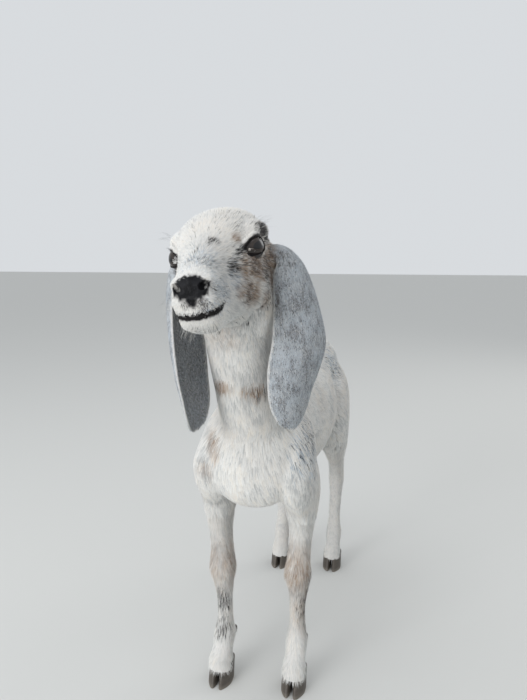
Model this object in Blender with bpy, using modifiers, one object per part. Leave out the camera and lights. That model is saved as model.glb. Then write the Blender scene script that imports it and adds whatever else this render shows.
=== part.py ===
"""A goat kid about six weeks old, of a long-legged breed with hanging ears, standing square with its head up.

The kid faces -Y and its left side is +X. The feet stand on Z = 0, and every size is in metres.
The flesh is lofted, fused and smoothed as one animal, then parted with thin cuts into the pieces
that a person would name. The outer surface of each piece is the outer surface of the short coat.
"""

import math

import bmesh
import bpy
import numpy as np
from mathutils import Matrix, Vector
from mathutils.bvhtree import BVHTree

# Driving dimensions
WITHERS_HEIGHT = 0.428
HIP_HEIGHT = 0.438
CHEST_FLOOR = 0.252
BARREL_HALF_WIDTH = 0.070
ELBOW_HEIGHT = 0.268
KNEE_HEIGHT = 0.157
FETLOCK_HEIGHT = 0.060
CORONET_HEIGHT = 0.026
HOCK_HEIGHT = 0.176
STIFLE_HEIGHT = 0.275
FORELEG_Y = -0.117
FORELEG_X = 0.050
HINDLEG_Y = 0.196
HINDLEG_X = 0.048
CUT_GAP = 0.0003

# The head is modelled level in its own frame, whose origin lies midway between the eyes
EYE_MIDPOINT = Vector((-0.004, -0.262, 0.566))
HEAD_YAW = math.radians(2.6)
HEAD_PITCH = math.radians(0.5)
HEAD_ROLL = math.radians(8.4)
EYEBALL_RADIUS = 0.0135
EYE_OFFSET = Vector((0.0352, -0.0004, 0.0004))
EYE_AZIMUTH = math.radians(55)
EYE_ELEVATION = math.radians(6)
LID_OPENING = (math.radians(54), math.radians(33))
LID_THICKNESS = 0.0023
EAR_ROOT = Vector((0.048, 0.036, 0.0))
EAR_THICKNESS = 0.0032

# How finely the soft forms are made
BODY_VOXEL = 0.0034
HEAD_VOXEL = 0.0016
BODY_TRIANGLES = 5600
HEAD_TRIANGLES = 3000

UP = Vector((0, 0, 1))
FORWARD = Vector((0, -1, 0))
LEFT = Vector((1, 0, 0))

for leftover in list(bpy.data.objects):
    bpy.data.objects.remove(leftover, do_unlink=True)

kid = bpy.data.collections.new("goat_kid")
bpy.context.scene.collection.children.link(kid)


def new_material(name, colour, roughness):
    material = bpy.data.materials.new(name)
    material.use_nodes = True
    shader = material.node_tree.nodes["Principled BSDF"]
    shader.inputs["Base Color"].default_value = (*colour, 1)
    shader.inputs["Roughness"].default_value = roughness
    return material


WHITE_COAT = new_material("white_coat", (0.80, 0.77, 0.71), 0.85)
GREY_COAT = new_material("grey_coat", (0.36, 0.39, 0.41), 0.85)
EYE = new_material("eye", (0.03, 0.022, 0.018), 0.06)
HORN = new_material("horn", (0.10, 0.085, 0.07), 0.45)


def new_object(name, mesh):
    made = bpy.data.objects.new(name, mesh)
    kid.objects.link(made)
    return made


def finish(solid, material):
    """Gives a finished solid its material and smooth shading."""
    solid.data.materials.clear()
    solid.data.materials.append(material)
    solid.data.shade_smooth()
    solid.data.set_sharp_from_angle(angle=math.radians(50))
    return solid


def evaluated(source):
    """The object with its modifiers applied. The source object is removed."""
    bpy.context.view_layer.update()
    graph = bpy.context.evaluated_depsgraph_get()
    mesh = bpy.data.meshes.new_from_object(source.evaluated_get(graph))
    mesh.transform(source.matrix_world)
    name = source.name
    bpy.data.objects.remove(source, do_unlink=True)
    return new_object(name, mesh)


def points_of(solid):
    found = np.empty(len(solid.data.vertices) * 3, np.float32)
    solid.data.vertices.foreach_get("co", found)
    return found.reshape(-1, 3).astype(float)


def set_points(solid, points):
    solid.data.vertices.foreach_set("co", points.astype(np.float32).ravel())
    solid.data.update()


def eased(rows, steps):
    """A smooth curve through the rows, with this many steps between each two of them."""
    rows = np.array(rows, float)
    padded = np.vstack([2 * rows[0] - rows[1], rows, 2 * rows[-1] - rows[-2]])
    found = []
    for a, b, c, d in zip(padded, padded[1:], padded[2:], padded[3:], strict=False):
        for t in np.arange(steps) / steps:
            found.append(
                0.5 * (2 * b + (c - a) * t + (2 * a - 5 * b + 4 * c - d) * t**2)
                + 0.5 * (3 * b - a - 3 * c + d) * t**3
            )
    return np.array([*found, rows[-1]])


def skin_rings(name, rings):
    """A closed solid through a stack of rings that have the same number of points."""
    shape = bmesh.new()
    rows = [[shape.verts.new(p) for p in ring] for ring in rings]
    for low, high in zip(rows, rows[1:], strict=False):
        for i in range(len(low)):
            j = (i + 1) % len(low)
            shape.faces.new((low[i], low[j], high[j], high[i]))
    ends = [shape.faces.new(rows[0][::-1]), shape.faces.new(rows[-1])]
    bmesh.ops.triangulate(shape, faces=ends)
    bmesh.ops.recalc_face_normals(shape, faces=shape.faces)
    mesh = bpy.data.meshes.new(name)
    shape.to_mesh(mesh)
    shape.free()
    return new_object(name, mesh)


def rounded(angle, power):
    """A point of a circle, or of a squarer outline where power is over 2."""
    c, s = math.cos(angle), math.sin(angle)
    return (
        math.copysign(abs(c) ** (2 / power), c),
        math.copysign(abs(s) ** (2 / power), s),
    )


def limb(name, rows, forward=FORWARD, sides=20, steps=4, power=2.15):
    """A loft along a path. Each row holds x, y, z, half width, reach forward, reach back."""
    rows = eased(rows, steps)
    along = np.gradient(rows[:, :3], axis=0)
    rings = []
    for row, direction in zip(rows, along, strict=True):
        tangent = Vector(direction).normalized()
        fore = (forward - forward.dot(tangent) * tangent).normalized()
        side = fore.cross(tangent).normalized()
        ring = []
        for k in range(sides):
            c, s = rounded(2 * math.pi * k / sides, power)
            reach = row[4] if s > 0 else row[5]
            ring.append(Vector(row[:3]) + side * (c * row[3]) + fore * (s * reach))
        rings.append(ring)
    return skin_rings(name, rings)


def trunk(name, rows, sides=32, steps=4):
    """A loft of upright sections: y, top, floor, half width, height of the widest place, power."""
    rings = []
    for y, top, floor, width, middle, power in eased(rows, steps):
        ring = []
        for k in range(sides):
            c, s = rounded(2 * math.pi * k / sides, power)
            reach = top - middle if s > 0 else middle - floor
            ring.append((c * width, y, middle + s * reach))
        rings.append(ring)
    return skin_rings(name, rings)


def ball(name, centre, radii, turn=None, segments=24):
    bpy.ops.mesh.primitive_uv_sphere_add(segments=segments, ring_count=segments * 2 // 3, radius=1)
    made = bpy.context.object
    made.name = name
    made.data.transform(Matrix.Diagonal((*radii, 1)))
    if turn is not None:
        made.data.transform(turn.to_4x4())
    made.data.transform(Matrix.Translation(centre))
    for owner in list(made.users_collection):
        owner.objects.unlink(made)
    kid.objects.link(made)
    return made


def joined(name, pieces):
    """One object that holds the faces of several, which are removed."""
    shape = bmesh.new()
    for piece in pieces:
        shape.from_mesh(piece.data)
        bpy.data.objects.remove(piece, do_unlink=True)
    mesh = bpy.data.meshes.new(name)
    shape.to_mesh(mesh)
    shape.free()
    return new_object(name, mesh)


def fused(name, pieces, voxel, smoothing):
    """Overlapping closed pieces as one soft, closed surface."""
    made = joined(name, pieces)
    remesh = made.modifiers.new("fuse", "REMESH")
    remesh.mode = "VOXEL"
    remesh.voxel_size = voxel
    remesh.adaptivity = 0
    smooth = made.modifiers.new("soften", "SMOOTH")
    smooth.factor = 0.5
    smooth.iterations = smoothing
    return evaluated(made)


def reduced(solid, triangles):
    """The same surface with about this many triangles, fewer where it is flat."""
    faces = sum(len(p.vertices) - 2 for p in solid.data.polygons)
    fewer = solid.modifiers.new("fewer", "DECIMATE")
    fewer.ratio = min(1, triangles / faces)
    return evaluated(solid)


def normals_of(solid):
    found = np.empty(len(solid.data.vertices) * 3, np.float32)
    solid.data.vertices.foreach_get("normal", found)
    return found.reshape(-1, 3).astype(float)


def swell(solid, centre, reach, amount):
    """Raises the surface round a place, or sinks it where amount is negative, as with a soft brush."""
    points = points_of(solid)
    away = np.linalg.norm((points - np.array(centre)) / np.array(reach), axis=1)
    weight = np.exp(-2 * away**2)
    set_points(solid, points + normals_of(solid) * (weight * amount)[:, None])


def boolean(solid, other, operation, solver="EXACT"):
    """Cuts or joins two closed solids. The other solid is removed."""
    step = solid.modifiers.new("boolean", "BOOLEAN")
    step.operation = operation
    step.object = other
    step.solver = solver
    made = evaluated(solid)
    bpy.data.objects.remove(other, do_unlink=True)
    return made


def copied(solid, name):
    return new_object(name, solid.data.copy())


def largest(solid):
    """Keeps only the largest closed surface of a solid."""
    shape = bmesh.new()
    shape.from_mesh(solid.data)
    shape.verts.ensure_lookup_table()
    left, groups = set(shape.verts), []
    while left:
        start = next(iter(left))
        group, todo = {start}, [start]
        while todo:
            for edge in todo.pop().link_edges:
                for vert in edge.verts:
                    if vert not in group:
                        group.add(vert)
                        todo.append(vert)
        left -= group
        groups.append(group)
    groups.sort(key=len)
    for group in groups[:-1]:
        bmesh.ops.delete(shape, geom=list(group), context="VERTS")
    shape.to_mesh(solid.data)
    shape.free()
    return solid


def beyond(solid, point, normal, gap=0.0):
    """Cuts a closed solid by a plane and keeps the side that the normal points to, closed by a flat face."""
    shape = bmesh.new()
    shape.from_mesh(solid.data)
    everything = [*shape.verts, *shape.edges, *shape.faces]
    place = Vector(point) + Vector(normal).normalized() * gap
    bmesh.ops.bisect_plane(
        shape, geom=everything, dist=1e-7, plane_co=place, plane_no=normal, clear_inner=True
    )
    rim = [edge for edge in shape.edges if edge.is_boundary]
    caps = bmesh.ops.holes_fill(shape, edges=rim, sides=0)["faces"]
    bmesh.ops.triangulate(shape, faces=caps)
    bmesh.ops.recalc_face_normals(shape, faces=shape.faces)
    shape.to_mesh(solid.data)
    shape.free()
    return solid


def wedge(name, corners, front, back):
    """A block whose outline is given in X and Z, running from front to back along Y."""
    return skin_rings(name, [[(x, y, z) for x, z in corners] for y in (front, back)])


# Torso

TORSO = [
    # y, top, floor, half width, height of the widest place, power
    (-0.192, 0.338, 0.294, 0.022, 0.318, 2.0),
    (-0.184, 0.362, 0.274, 0.042, 0.318, 2.1),
    (-0.165, 0.388, 0.260, 0.056, 0.322, 2.2),
    (-0.135, 0.412, CHEST_FLOOR + 0.001, 0.062, 0.328, 2.2),
    (-0.095, WITHERS_HEIGHT - 0.003, CHEST_FLOOR - 0.003, 0.062, 0.330, 2.1),
    (-0.060, WITHERS_HEIGHT, CHEST_FLOOR - 0.004, 0.063, 0.330, 2.1),
    (-0.010, WITHERS_HEIGHT - 0.005, CHEST_FLOOR - 0.002, 0.068, 0.328, 2.1),
    (0.040, WITHERS_HEIGHT - 0.006, CHEST_FLOOR + 0.002, BARREL_HALF_WIDTH, 0.326, 2.1),
    (0.085, WITHERS_HEIGHT - 0.001, CHEST_FLOOR + 0.012, BARREL_HALF_WIDTH - 0.004, 0.332, 2.1),
    (0.125, HIP_HEIGHT - 0.001, 0.282, 0.060, 0.352, 2.2),
    (0.160, HIP_HEIGHT, 0.304, 0.056, 0.372, 2.3),
    (0.190, HIP_HEIGHT - 0.014, 0.322, 0.049, 0.372, 2.2),
    (0.212, HIP_HEIGHT - 0.030, 0.336, 0.037, 0.374, 2.1),
    (0.225, HIP_HEIGHT - 0.052, 0.354, 0.020, 0.374, 2.0),
]

# Neck: x, y, z, half width, reach forward, reach back
NECK = [
    (0.000, -0.100, 0.350, 0.050, 0.080, 0.070),
    (0.000, -0.134, 0.390, 0.048, 0.064, 0.060),
    (-0.001, -0.160, 0.424, 0.0425, 0.052, 0.050),
    (-0.002, -0.181, 0.457, 0.0405, 0.046, 0.044),
    (-0.002, -0.198, 0.490, 0.0405, 0.043, 0.040),
    (-0.002, -0.211, 0.520, 0.0435, 0.049, 0.041),
    (-0.001, -0.220, 0.545, 0.0445, 0.048, 0.041),
    (-0.002, -0.226, 0.566, 0.0340, 0.034, 0.034),
    (-0.003, -0.230, 0.580, 0.0200, 0.022, 0.026),
]
NECK_BASE = (Vector((0, -0.150, 0.412)), Vector((0, -0.46, 0.89)))
NECK_TOP = (Vector((-0.003, -0.196, 0.487)), Vector((0, -0.42, 0.91)))

# Tail, short and carried a little away from the rump
TAIL = [
    (0.0, 0.190, 0.414, 0.015, 0.013, 0.013),
    (0.0, 0.214, 0.413, 0.0145, 0.012, 0.012),
    (0.0, 0.234, 0.405, 0.0150, 0.0110, 0.011),
    (0.0, 0.248, 0.388, 0.0160, 0.0100, 0.011),
    (0.0, 0.256, 0.366, 0.0140, 0.0085, 0.010),
    (0.0, 0.260, 0.345, 0.0090, 0.0060, 0.008),
    (0.0, 0.262, 0.329, 0.0035, 0.0030, 0.004),
]
TAIL_ROOT_Y = 0.2300


def foreleg_rows(side, step):
    """The left or right foreleg, whose foot stands this far behind the common line."""
    x, y = side * FORELEG_X, FORELEG_Y + step
    wide = side * 0.001
    return [
        (side * 0.032, FORELEG_Y + 0.026, WITHERS_HEIGHT - 0.040, 0.014, 0.030, 0.032),
        (side * 0.046, FORELEG_Y - 0.006, WITHERS_HEIGHT - 0.082, 0.021, 0.044, 0.050),
        (side * 0.053, FORELEG_Y - 0.026, WITHERS_HEIGHT - 0.122, 0.023, 0.040, 0.050),
        (side * 0.055, FORELEG_Y - 0.006 + step * 0.2, ELBOW_HEIGHT + 0.004, 0.023, 0.036, 0.044),
        (side * 0.054, y + 0.001, ELBOW_HEIGHT - 0.030, 0.0195, 0.026, 0.031),
        (x + 3 * wide, y + 0.001, ELBOW_HEIGHT - 0.062, 0.0160, 0.0195, 0.0215),
        (x + wide, y, KNEE_HEIGHT + 0.022, 0.0165, 0.0180, 0.0165),
        (x, y - 0.001, KNEE_HEIGHT, 0.0190, 0.0200, 0.0175),
        (x, y + 0.001, KNEE_HEIGHT - 0.020, 0.0155, 0.0160, 0.0160),
        (x - wide, y + 0.002, KNEE_HEIGHT - 0.046, 0.0120, 0.0128, 0.0140),
        (x - wide, y + 0.002, FETLOCK_HEIGHT + 0.022, 0.0122, 0.0128, 0.0142),
        (x - wide, y, FETLOCK_HEIGHT, 0.0155, 0.0150, 0.0170),
        (x - wide, y - 0.007, FETLOCK_HEIGHT - 0.016, 0.0145, 0.0135, 0.0145),
        (x - wide, y - 0.013, CORONET_HEIGHT + 0.005, 0.0165, 0.0165, 0.0165),
        (x - wide, y - 0.018, CORONET_HEIGHT - 0.012, 0.0165, 0.0165, 0.0165),
    ]


def hindleg_rows(side, step):
    x, y = side * HINDLEG_X, HINDLEG_Y + step
    wide = side * 0.001
    return [
        (side * 0.030, HINDLEG_Y - 0.050, HIP_HEIGHT - 0.036, 0.015, 0.036, 0.034),
        (side * 0.044, HINDLEG_Y - 0.052, HIP_HEIGHT - 0.085, 0.028, 0.058, 0.070),
        (side * 0.050, HINDLEG_Y - 0.064, STIFLE_HEIGHT + 0.034, 0.029, 0.048, 0.068),
        (side * 0.053, HINDLEG_Y - 0.062, STIFLE_HEIGHT, 0.026, 0.038, 0.062),
        (side * 0.053, y - 0.048, STIFLE_HEIGHT - 0.034, 0.0205, 0.029, 0.041),
        (x + 3 * wide, y - 0.021, HOCK_HEIGHT + 0.034, 0.0155, 0.021, 0.025),
        (x + wide, y - 0.001, HOCK_HEIGHT + 0.008, 0.0145, 0.0190, 0.0215),
        (x, y + 0.006, HOCK_HEIGHT - 0.016, 0.0152, 0.0165, 0.0180),
        (x, y + 0.004, HOCK_HEIGHT - 0.042, 0.0125, 0.0140, 0.0145),
        (x - wide, y, HOCK_HEIGHT - 0.076, 0.0118, 0.0128, 0.0138),
        (x - wide, y - 0.003, FETLOCK_HEIGHT + 0.020, 0.0125, 0.0130, 0.0145),
        (x - wide, y - 0.005, FETLOCK_HEIGHT, 0.0155, 0.0150, 0.0170),
        (x - wide, y - 0.012, FETLOCK_HEIGHT - 0.017, 0.0142, 0.0133, 0.0145),
        (x - wide, y - 0.018, CORONET_HEIGHT + 0.005, 0.0160, 0.0160, 0.0160),
        (x - wide, y - 0.023, CORONET_HEIGHT - 0.012, 0.0160, 0.0160, 0.0160),
    ]


LEGS = {
    # name: side, rows, how far the foot stands behind the common line
    "foreleg_left": (1, foreleg_rows, 0.000),
    "foreleg_right": (-1, foreleg_rows, -0.010),
    "hindleg_left": (1, hindleg_rows, 0.012),
    "hindleg_right": (-1, hindleg_rows, -0.004),
}
# Where the flesh belongs to the leg: the inner edge's X and Z, then along Y the height of the outer edge
LEG_ARCHES = {
    "fore": (
        0.016,
        0.232,
        ((-0.205, 0.250), (-0.180, 0.335), (-0.105, 0.385), (-0.070, 0.300), (-0.046, 0.236)),
    ),
    "hind": (
        0.003,
        0.262,
        ((0.080, 0.246), (0.092, 0.315), (0.112, 0.440), (0.185, 0.440), (0.215, 0.370), (0.250, 0.280)),
    ),
}
LEG_REACH = 0.110


def leg_block(name, grown):
    """The arched block of space that a leg takes, or the same grown by the gap that the cut leaves."""
    side = LEGS[name][0]
    inner, foot, arch = LEG_ARCHES[name[:4]]
    rings = []
    for i, (y, top) in enumerate(arch):
        y += grown * (-1 if i < len(arch) / 2 else 1)
        low = (side * (inner - grown), y, foot + grown)
        rings.append([
            (side * (inner - grown), y, -0.05),
            (side * LEG_REACH, y, -0.05),
            (side * LEG_REACH, y, top + grown * 2),
            low,
        ])
    block = skin_rings("block_" + name, rings)
    # Its bent faces are split alike on the block and the grown block
    shape = bmesh.new()
    shape.from_mesh(block.data)
    bmesh.ops.triangulate(shape, faces=shape.faces, quad_method="FIXED")
    shape.to_mesh(block.data)
    shape.free()
    return block


def tail_block(inset):
    """The block of space behind the rump that holds the tail."""
    corners = [(-0.024, 0.310), (0.024, 0.310), (0.024, 0.450), (-0.024, 0.450)]
    return wedge("tail_block", corners, TAIL_ROOT_Y + inset, TAIL_ROOT_Y + 0.060)


def make_body():
    pieces = [
        trunk("trunk", TORSO),
        limb("neck_form", NECK, sides=28),
        limb("tail_form", TAIL, sides=14),
    ]
    for name, (side, rows, step) in LEGS.items():
        pieces.append(limb(name + "_form", rows(side, step)))
        fetlock = Vector(rows(side, step)[-4][:3])
        for across in (-1, 1):
            place = fetlock + Vector((across * 0.0085, 0.0145, -0.004))
            pieces.append(ball("dewclaw", place, (0.0055, 0.0060, 0.0075)))
    body = fused("body", pieces, BODY_VOXEL, 10)
    # The shoulder point, the hip bone, the stifle fold and the hollow behind the elbow
    for side in (-1, 1):
        swell(body, (side * 0.060, -0.168, 0.312), (0.026, 0.026, 0.026), 0.004)
        swell(body, (side * 0.050, 0.112, 0.428), (0.022, 0.022, 0.020), 0.004)
        swell(body, (side * 0.052, 0.092, 0.300), (0.024, 0.024, 0.026), 0.004)
        swell(body, (side * 0.060, -0.060, 0.300), (0.022, 0.018, 0.030), -0.003)
        swell(body, (side * 0.060, 0.108, 0.372), (0.022, 0.030, 0.026), -0.005)
        for name, (leg_side, _, step) in LEGS.items():
            if leg_side == side and name.startswith("hind"):
                y = HINDLEG_Y + step
                swell(body, (side * HINDLEG_X, y + 0.024, HOCK_HEIGHT + 0.010), (0.012, 0.010, 0.012), 0.003)
    swell(body, (0, -0.192, 0.312), (0.020, 0.016, 0.030), 0.005)
    return reduced(body, BODY_TRIANGLES)


# Head, level, in its own frame: how far forward, top, floor, half width, height of the widest place, power

HEAD = [
    (0.0890, -0.026, -0.046, 0.0095, -0.035, 2.0),
    (0.0865, -0.0185, -0.056, 0.0170, -0.038, 2.3),
    (0.080, -0.0125, -0.0650, 0.0208, -0.042, 2.5),
    (0.070, -0.0055, -0.0710, 0.0224, -0.045, 2.5),
    (0.057, 0.0030, -0.0725, 0.0236, -0.042, 2.4),
    (0.042, 0.0120, -0.0705, 0.0268, -0.034, 2.3),
    (0.026, 0.0222, -0.0685, 0.0325, -0.022, 2.25),
    (0.010, 0.0325, -0.0670, 0.0390, -0.010, 2.35),
    (-0.008, 0.0415, -0.0650, 0.0460, 0.000, 2.25),
    (-0.026, 0.0455, -0.0600, 0.0480, 0.000, 2.2),
    (-0.043, 0.0425, -0.0480, 0.0435, 0.000, 2.1),
    (-0.057, 0.0320, -0.0310, 0.0305, 0.000, 2.1),
    (-0.066, 0.0170, -0.0130, 0.0165, 0.001, 2.0),
]

HEAD_TURN = (
    Matrix.Rotation(HEAD_YAW, 3, "Z")
    @ Matrix.Rotation(HEAD_PITCH, 3, "X")
    @ Matrix.Rotation(-HEAD_ROLL, 3, "Y")
)


def on_head(place):
    """A point of the head's own frame, in the kid's."""
    return EYE_MIDPOINT + HEAD_TURN @ Vector(place)


def eye_centre(side):
    return Vector((side * EYE_OFFSET.x, EYE_OFFSET.y, EYE_OFFSET.z))


def eye_axes(side):
    """Out of the eye, towards its front corner, and up across it, in the head's own frame."""
    flat = math.cos(EYE_ELEVATION)
    across, ahead = side * math.sin(EYE_AZIMUTH), -math.cos(EYE_AZIMUTH)
    out = Vector((across * flat, ahead * flat, math.sin(EYE_ELEVATION)))
    front = (FORWARD - FORWARD.dot(out) * out).normalized()
    # The opening slants down towards the nose
    front = Matrix.Rotation(side * math.radians(12), 3, out) @ front
    up = front.cross(out) * -side
    return out, front, up if up.z > 0 else -up


def lid_direction(side, angle, widen=1.0):
    """From the middle of the eyeball towards a place on the lids' edge."""
    out, front, up = eye_axes(side)
    across, high = (a * widen for a in LID_OPENING)
    h, v = across * math.cos(angle), high * math.sin(angle)
    spread = math.hypot(h, v)
    flat = (front * h + up * v) / spread
    return out * math.cos(spread) + flat * math.sin(spread)


def eye_opening(side):
    """A flared plug that clears the flesh in front of the eyeball, between the lids."""
    centre, steps = eye_centre(side), 28
    rings = []
    for reach in (0.95, 1.25, 1.9):
        angles = [2 * math.pi * k / steps for k in range(steps)]
        rings.append([centre + lid_direction(side, a) * (EYEBALL_RADIUS * reach) for a in angles])
    return skin_rings("opening", rings)


def lid_ring(side):
    """The two lids as one soft ring round the opening."""
    centre, steps = eye_centre(side), 28
    path = bpy.data.curves.new("lids", "CURVE")
    path.dimensions = "3D"
    path.bevel_depth = LID_THICKNESS
    path.bevel_resolution = 1
    line = path.splines.new("POLY")
    line.points.add(steps - 1)
    line.use_cyclic_u = True
    for k in range(steps):
        angle = 2 * math.pi * k / steps
        widen = 1.13 if math.sin(angle) > 0 else 1.10
        place = centre + lid_direction(side, angle, widen) * (EYEBALL_RADIUS + 0.0006)
        line.points[k].co = (*place, 1)
        line.points[k].radius = 1.15 if math.sin(angle) > 0 else 0.9
    holder = bpy.data.objects.new("lids", path)
    kid.objects.link(holder)
    return evaluated(holder)


def snapped(solid, places):
    """Each place moved to the nearest point of the surface."""
    graph = bpy.context.evaluated_depsgraph_get()
    tree = BVHTree.FromObject(solid, graph)
    return [tree.find_nearest(Vector(p))[0] for p in places]


def groove(solid, name, places, depth):
    """A tube along the surface, which cuts a groove of this depth."""
    route = snapped(solid, [p[:3] for p in eased(places, 5)])
    path = bpy.data.curves.new(name, "CURVE")
    path.dimensions = "3D"
    path.bevel_depth = depth
    path.bevel_resolution = 1
    path.use_fill_caps = True
    line = path.splines.new("POLY")
    line.points.add(len(route) - 1)
    for point, place in zip(line.points, route, strict=True):
        point.co = (*place, 1)
    line.points[0].radius = line.points[-1].radius = 0.5
    holder = bpy.data.objects.new(name, path)
    kid.objects.link(holder)
    made = evaluated(holder)
    shape = bmesh.new()
    shape.from_mesh(made.data)
    bmesh.ops.remove_doubles(shape, verts=shape.verts, dist=1e-6)
    bmesh.ops.recalc_face_normals(shape, faces=shape.faces)
    shape.to_mesh(made.data)
    shape.free()
    return made


MOUTH = [
    # From the corner on one side round the front to the other: x, y, z in the head's frame
    (0.0222, -0.0595, -0.0430),
    (0.0214, -0.0645, -0.0450),
    (0.0202, -0.0705, -0.0462),
    (0.0182, -0.0765, -0.0476),
    (0.0110, -0.0848, -0.0512),
    (0.0000, -0.0885, -0.0525),
    (-0.0110, -0.0848, -0.0512),
    (-0.0182, -0.0765, -0.0476),
    (-0.0202, -0.0705, -0.0462),
    (-0.0214, -0.0645, -0.0450),
    (-0.0222, -0.0595, -0.0430),
]


NOSTRIL = [
    # The round lower part, then the slit that runs up and out from it
    ((0.0118, -0.0860, -0.0285), (0.0032, 0.0060, 0.0042), math.radians(30)),
    ((0.0150, -0.0835, -0.0250), (0.0018, 0.0060, 0.0055), math.radians(50)),
]


def make_head():
    skull = trunk("skull", [(-f, *rest) for f, *rest in HEAD])
    pieces = [skull]
    for side in (-1, 1):
        out = eye_axes(side)[0]
        pieces.append(ball("orbit", eye_centre(side) - out * 0.0030, (0.0160, 0.0185, 0.0160)))
        pieces.append(ball("brow", Vector((side * 0.0345, 0.0135, 0.0150)), (0.0165, 0.0215, 0.0130)))
        pieces.append(ball("ear_boss", Vector((side * 0.040, 0.036, -0.010)), (0.0150, 0.0150, 0.0165)))
        # The flesh behind the jaw leans inwards and back, into the neck
        lean = Matrix.Rotation(side * math.radians(10), 3, "Y") @ Matrix.Rotation(math.radians(15), 3, "X")
        jaw_root = Vector((side * 0.0265, 0.040, -0.050))
        pieces.append(ball("parotid", jaw_root, (0.0160, 0.0215, 0.0480), lean))
        pieces.append(ball("cheek", Vector((side * 0.0245, 0.015, -0.030)), (0.0205, 0.032, 0.029)))
    pieces.append(ball("throat", Vector((0, 0.012, -0.052)), (0.026, 0.040, 0.022)))
    head = fused("head", pieces, HEAD_VOXEL, 10)
    for side in (-1, 1):
        # Bone under the eye, hollow of the cheek, nostril wing, lips, brow
        swell(head, (side * 0.036, -0.018, -0.016), (0.012, 0.020, 0.008), 0.0022)
        swell(head, (side * 0.027, -0.040, -0.020), (0.010, 0.018, 0.010), -0.0022)
        swell(head, (side * 0.0165, -0.080, -0.0235), (0.007, 0.009, 0.007), 0.0030)
        swell(head, (side * 0.0170, -0.078, -0.0405), (0.010, 0.014, 0.0060), 0.0022)
        swell(head, (side * 0.0140, -0.074, -0.0620), (0.010, 0.012, 0.0060), 0.0018)
        swell(head, (side * 0.030, 0.004, 0.019), (0.012, 0.014, 0.008), 0.0018)
    swell(head, (0, -0.046, 0.007), (0.014, 0.026, 0.012), 0.0022)
    head = joined("head", [head, lid_ring(1), lid_ring(-1)])
    turn = Matrix.Translation(EYE_MIDPOINT) @ HEAD_TURN.to_4x4()
    head.data.transform(turn)
    head = fused("head", [head, limb("neck_form", NECK, sides=28)], HEAD_VOXEL, 5)
    head = beyond(head, *NECK_TOP, gap=CUT_GAP / 2)
    head = reduced(head, HEAD_TRIANGLES)

    for side, name in ((1, "left"), (-1, "right")):
        plug = eye_opening(side)
        plug.data.transform(turn)
        # The exact solver leaves open edges where the plug and the ball nearly touch
        head = boolean(head, plug, "DIFFERENCE", "MANIFOLD")
        socket_radius = EYEBALL_RADIUS + CUT_GAP
        socket = ball("socket", on_head(eye_centre(side)), (socket_radius,) * 3)
        head = boolean(head, socket, "DIFFERENCE", "MANIFOLD")
        finish(ball("eye_" + name, on_head(eye_centre(side)), (EYEBALL_RADIUS,) * 3, segments=20), EYE)
        for place, radii, lean in NOSTRIL:
            tilt = Matrix.Rotation(side * lean, 3, "Y") @ Matrix.Rotation(side * math.radians(-25), 3, "Z")
            nostril = ball("nostril", Vector((side * place[0], place[1], place[2])), radii, tilt, 14)
            nostril.data.transform(turn)
            head = boolean(head, nostril, "DIFFERENCE", "MANIFOLD")
    mouth = groove(head, "mouth", [(*on_head(p), 0) for p in MOUTH], 0.0013)
    head = boolean(head, mouth, "DIFFERENCE", "MANIFOLD")
    head.name = "head"
    return largest(head)


# Ears: the leaf's width and its curl in degrees, from the root to the tip
EAR_LEAF = [
    (0.036, 275),
    (0.047, 235),
    (0.054, 200),
    (0.060, 174),
    (0.066, 150),
    (0.071, 134),
    (0.076, 120),
    (0.078, 110),
    (0.076, 99),
    (0.070, 90),
    (0.062, 84),
    (0.050, 77),
    (0.036, 72),
    (0.012, 70),
]
# How each ear hangs: outward, backward and down from its root, then which way its outer face looks
EAR_HANG = {
    1: [
        (-0.008, 0.000, -0.002, 104),
        (0.010, 0.002, -0.001, 94),
        (0.021, 0.004, 0.006, 78),
        (0.028, 0.004, 0.018, 62),
        (0.032, 0.004, 0.038, 50),
        (0.0355, 0.004, 0.062, 44),
        (0.038, 0.003, 0.088, 41),
        (0.0375, 0.003, 0.108, 42),
        (0.0325, 0.003, 0.131, 46),
        (0.0290, 0.003, 0.150, 52),
        (0.0270, 0.003, 0.166, 55),
        (0.0255, 0.003, 0.178, 57),
        (0.0245, 0.003, 0.186, 58),
        (0.0240, 0.003, 0.191, 58),
    ],
    -1: [
        (-0.008, 0.000, -0.002, 104),
        (0.007, 0.003, -0.001, 104),
        (0.014, 0.006, 0.006, 103),
        (0.0175, 0.007, 0.018, 102),
        (0.0195, 0.008, 0.038, 101),
        (0.019, 0.009, 0.062, 100),
        (0.0168, 0.010, 0.088, 99),
        (0.0148, 0.012, 0.108, 98),
        (0.0112, 0.013, 0.131, 97),
        (0.0066, 0.014, 0.150, 97),
        (0.003, 0.014, 0.166, 97),
        (0.0005, 0.014, 0.178, 97),
        (-0.001, 0.014, 0.186, 97),
        (-0.002, 0.014, 0.191, 97),
    ],
}
EAR_ACROSS = 11


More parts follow.
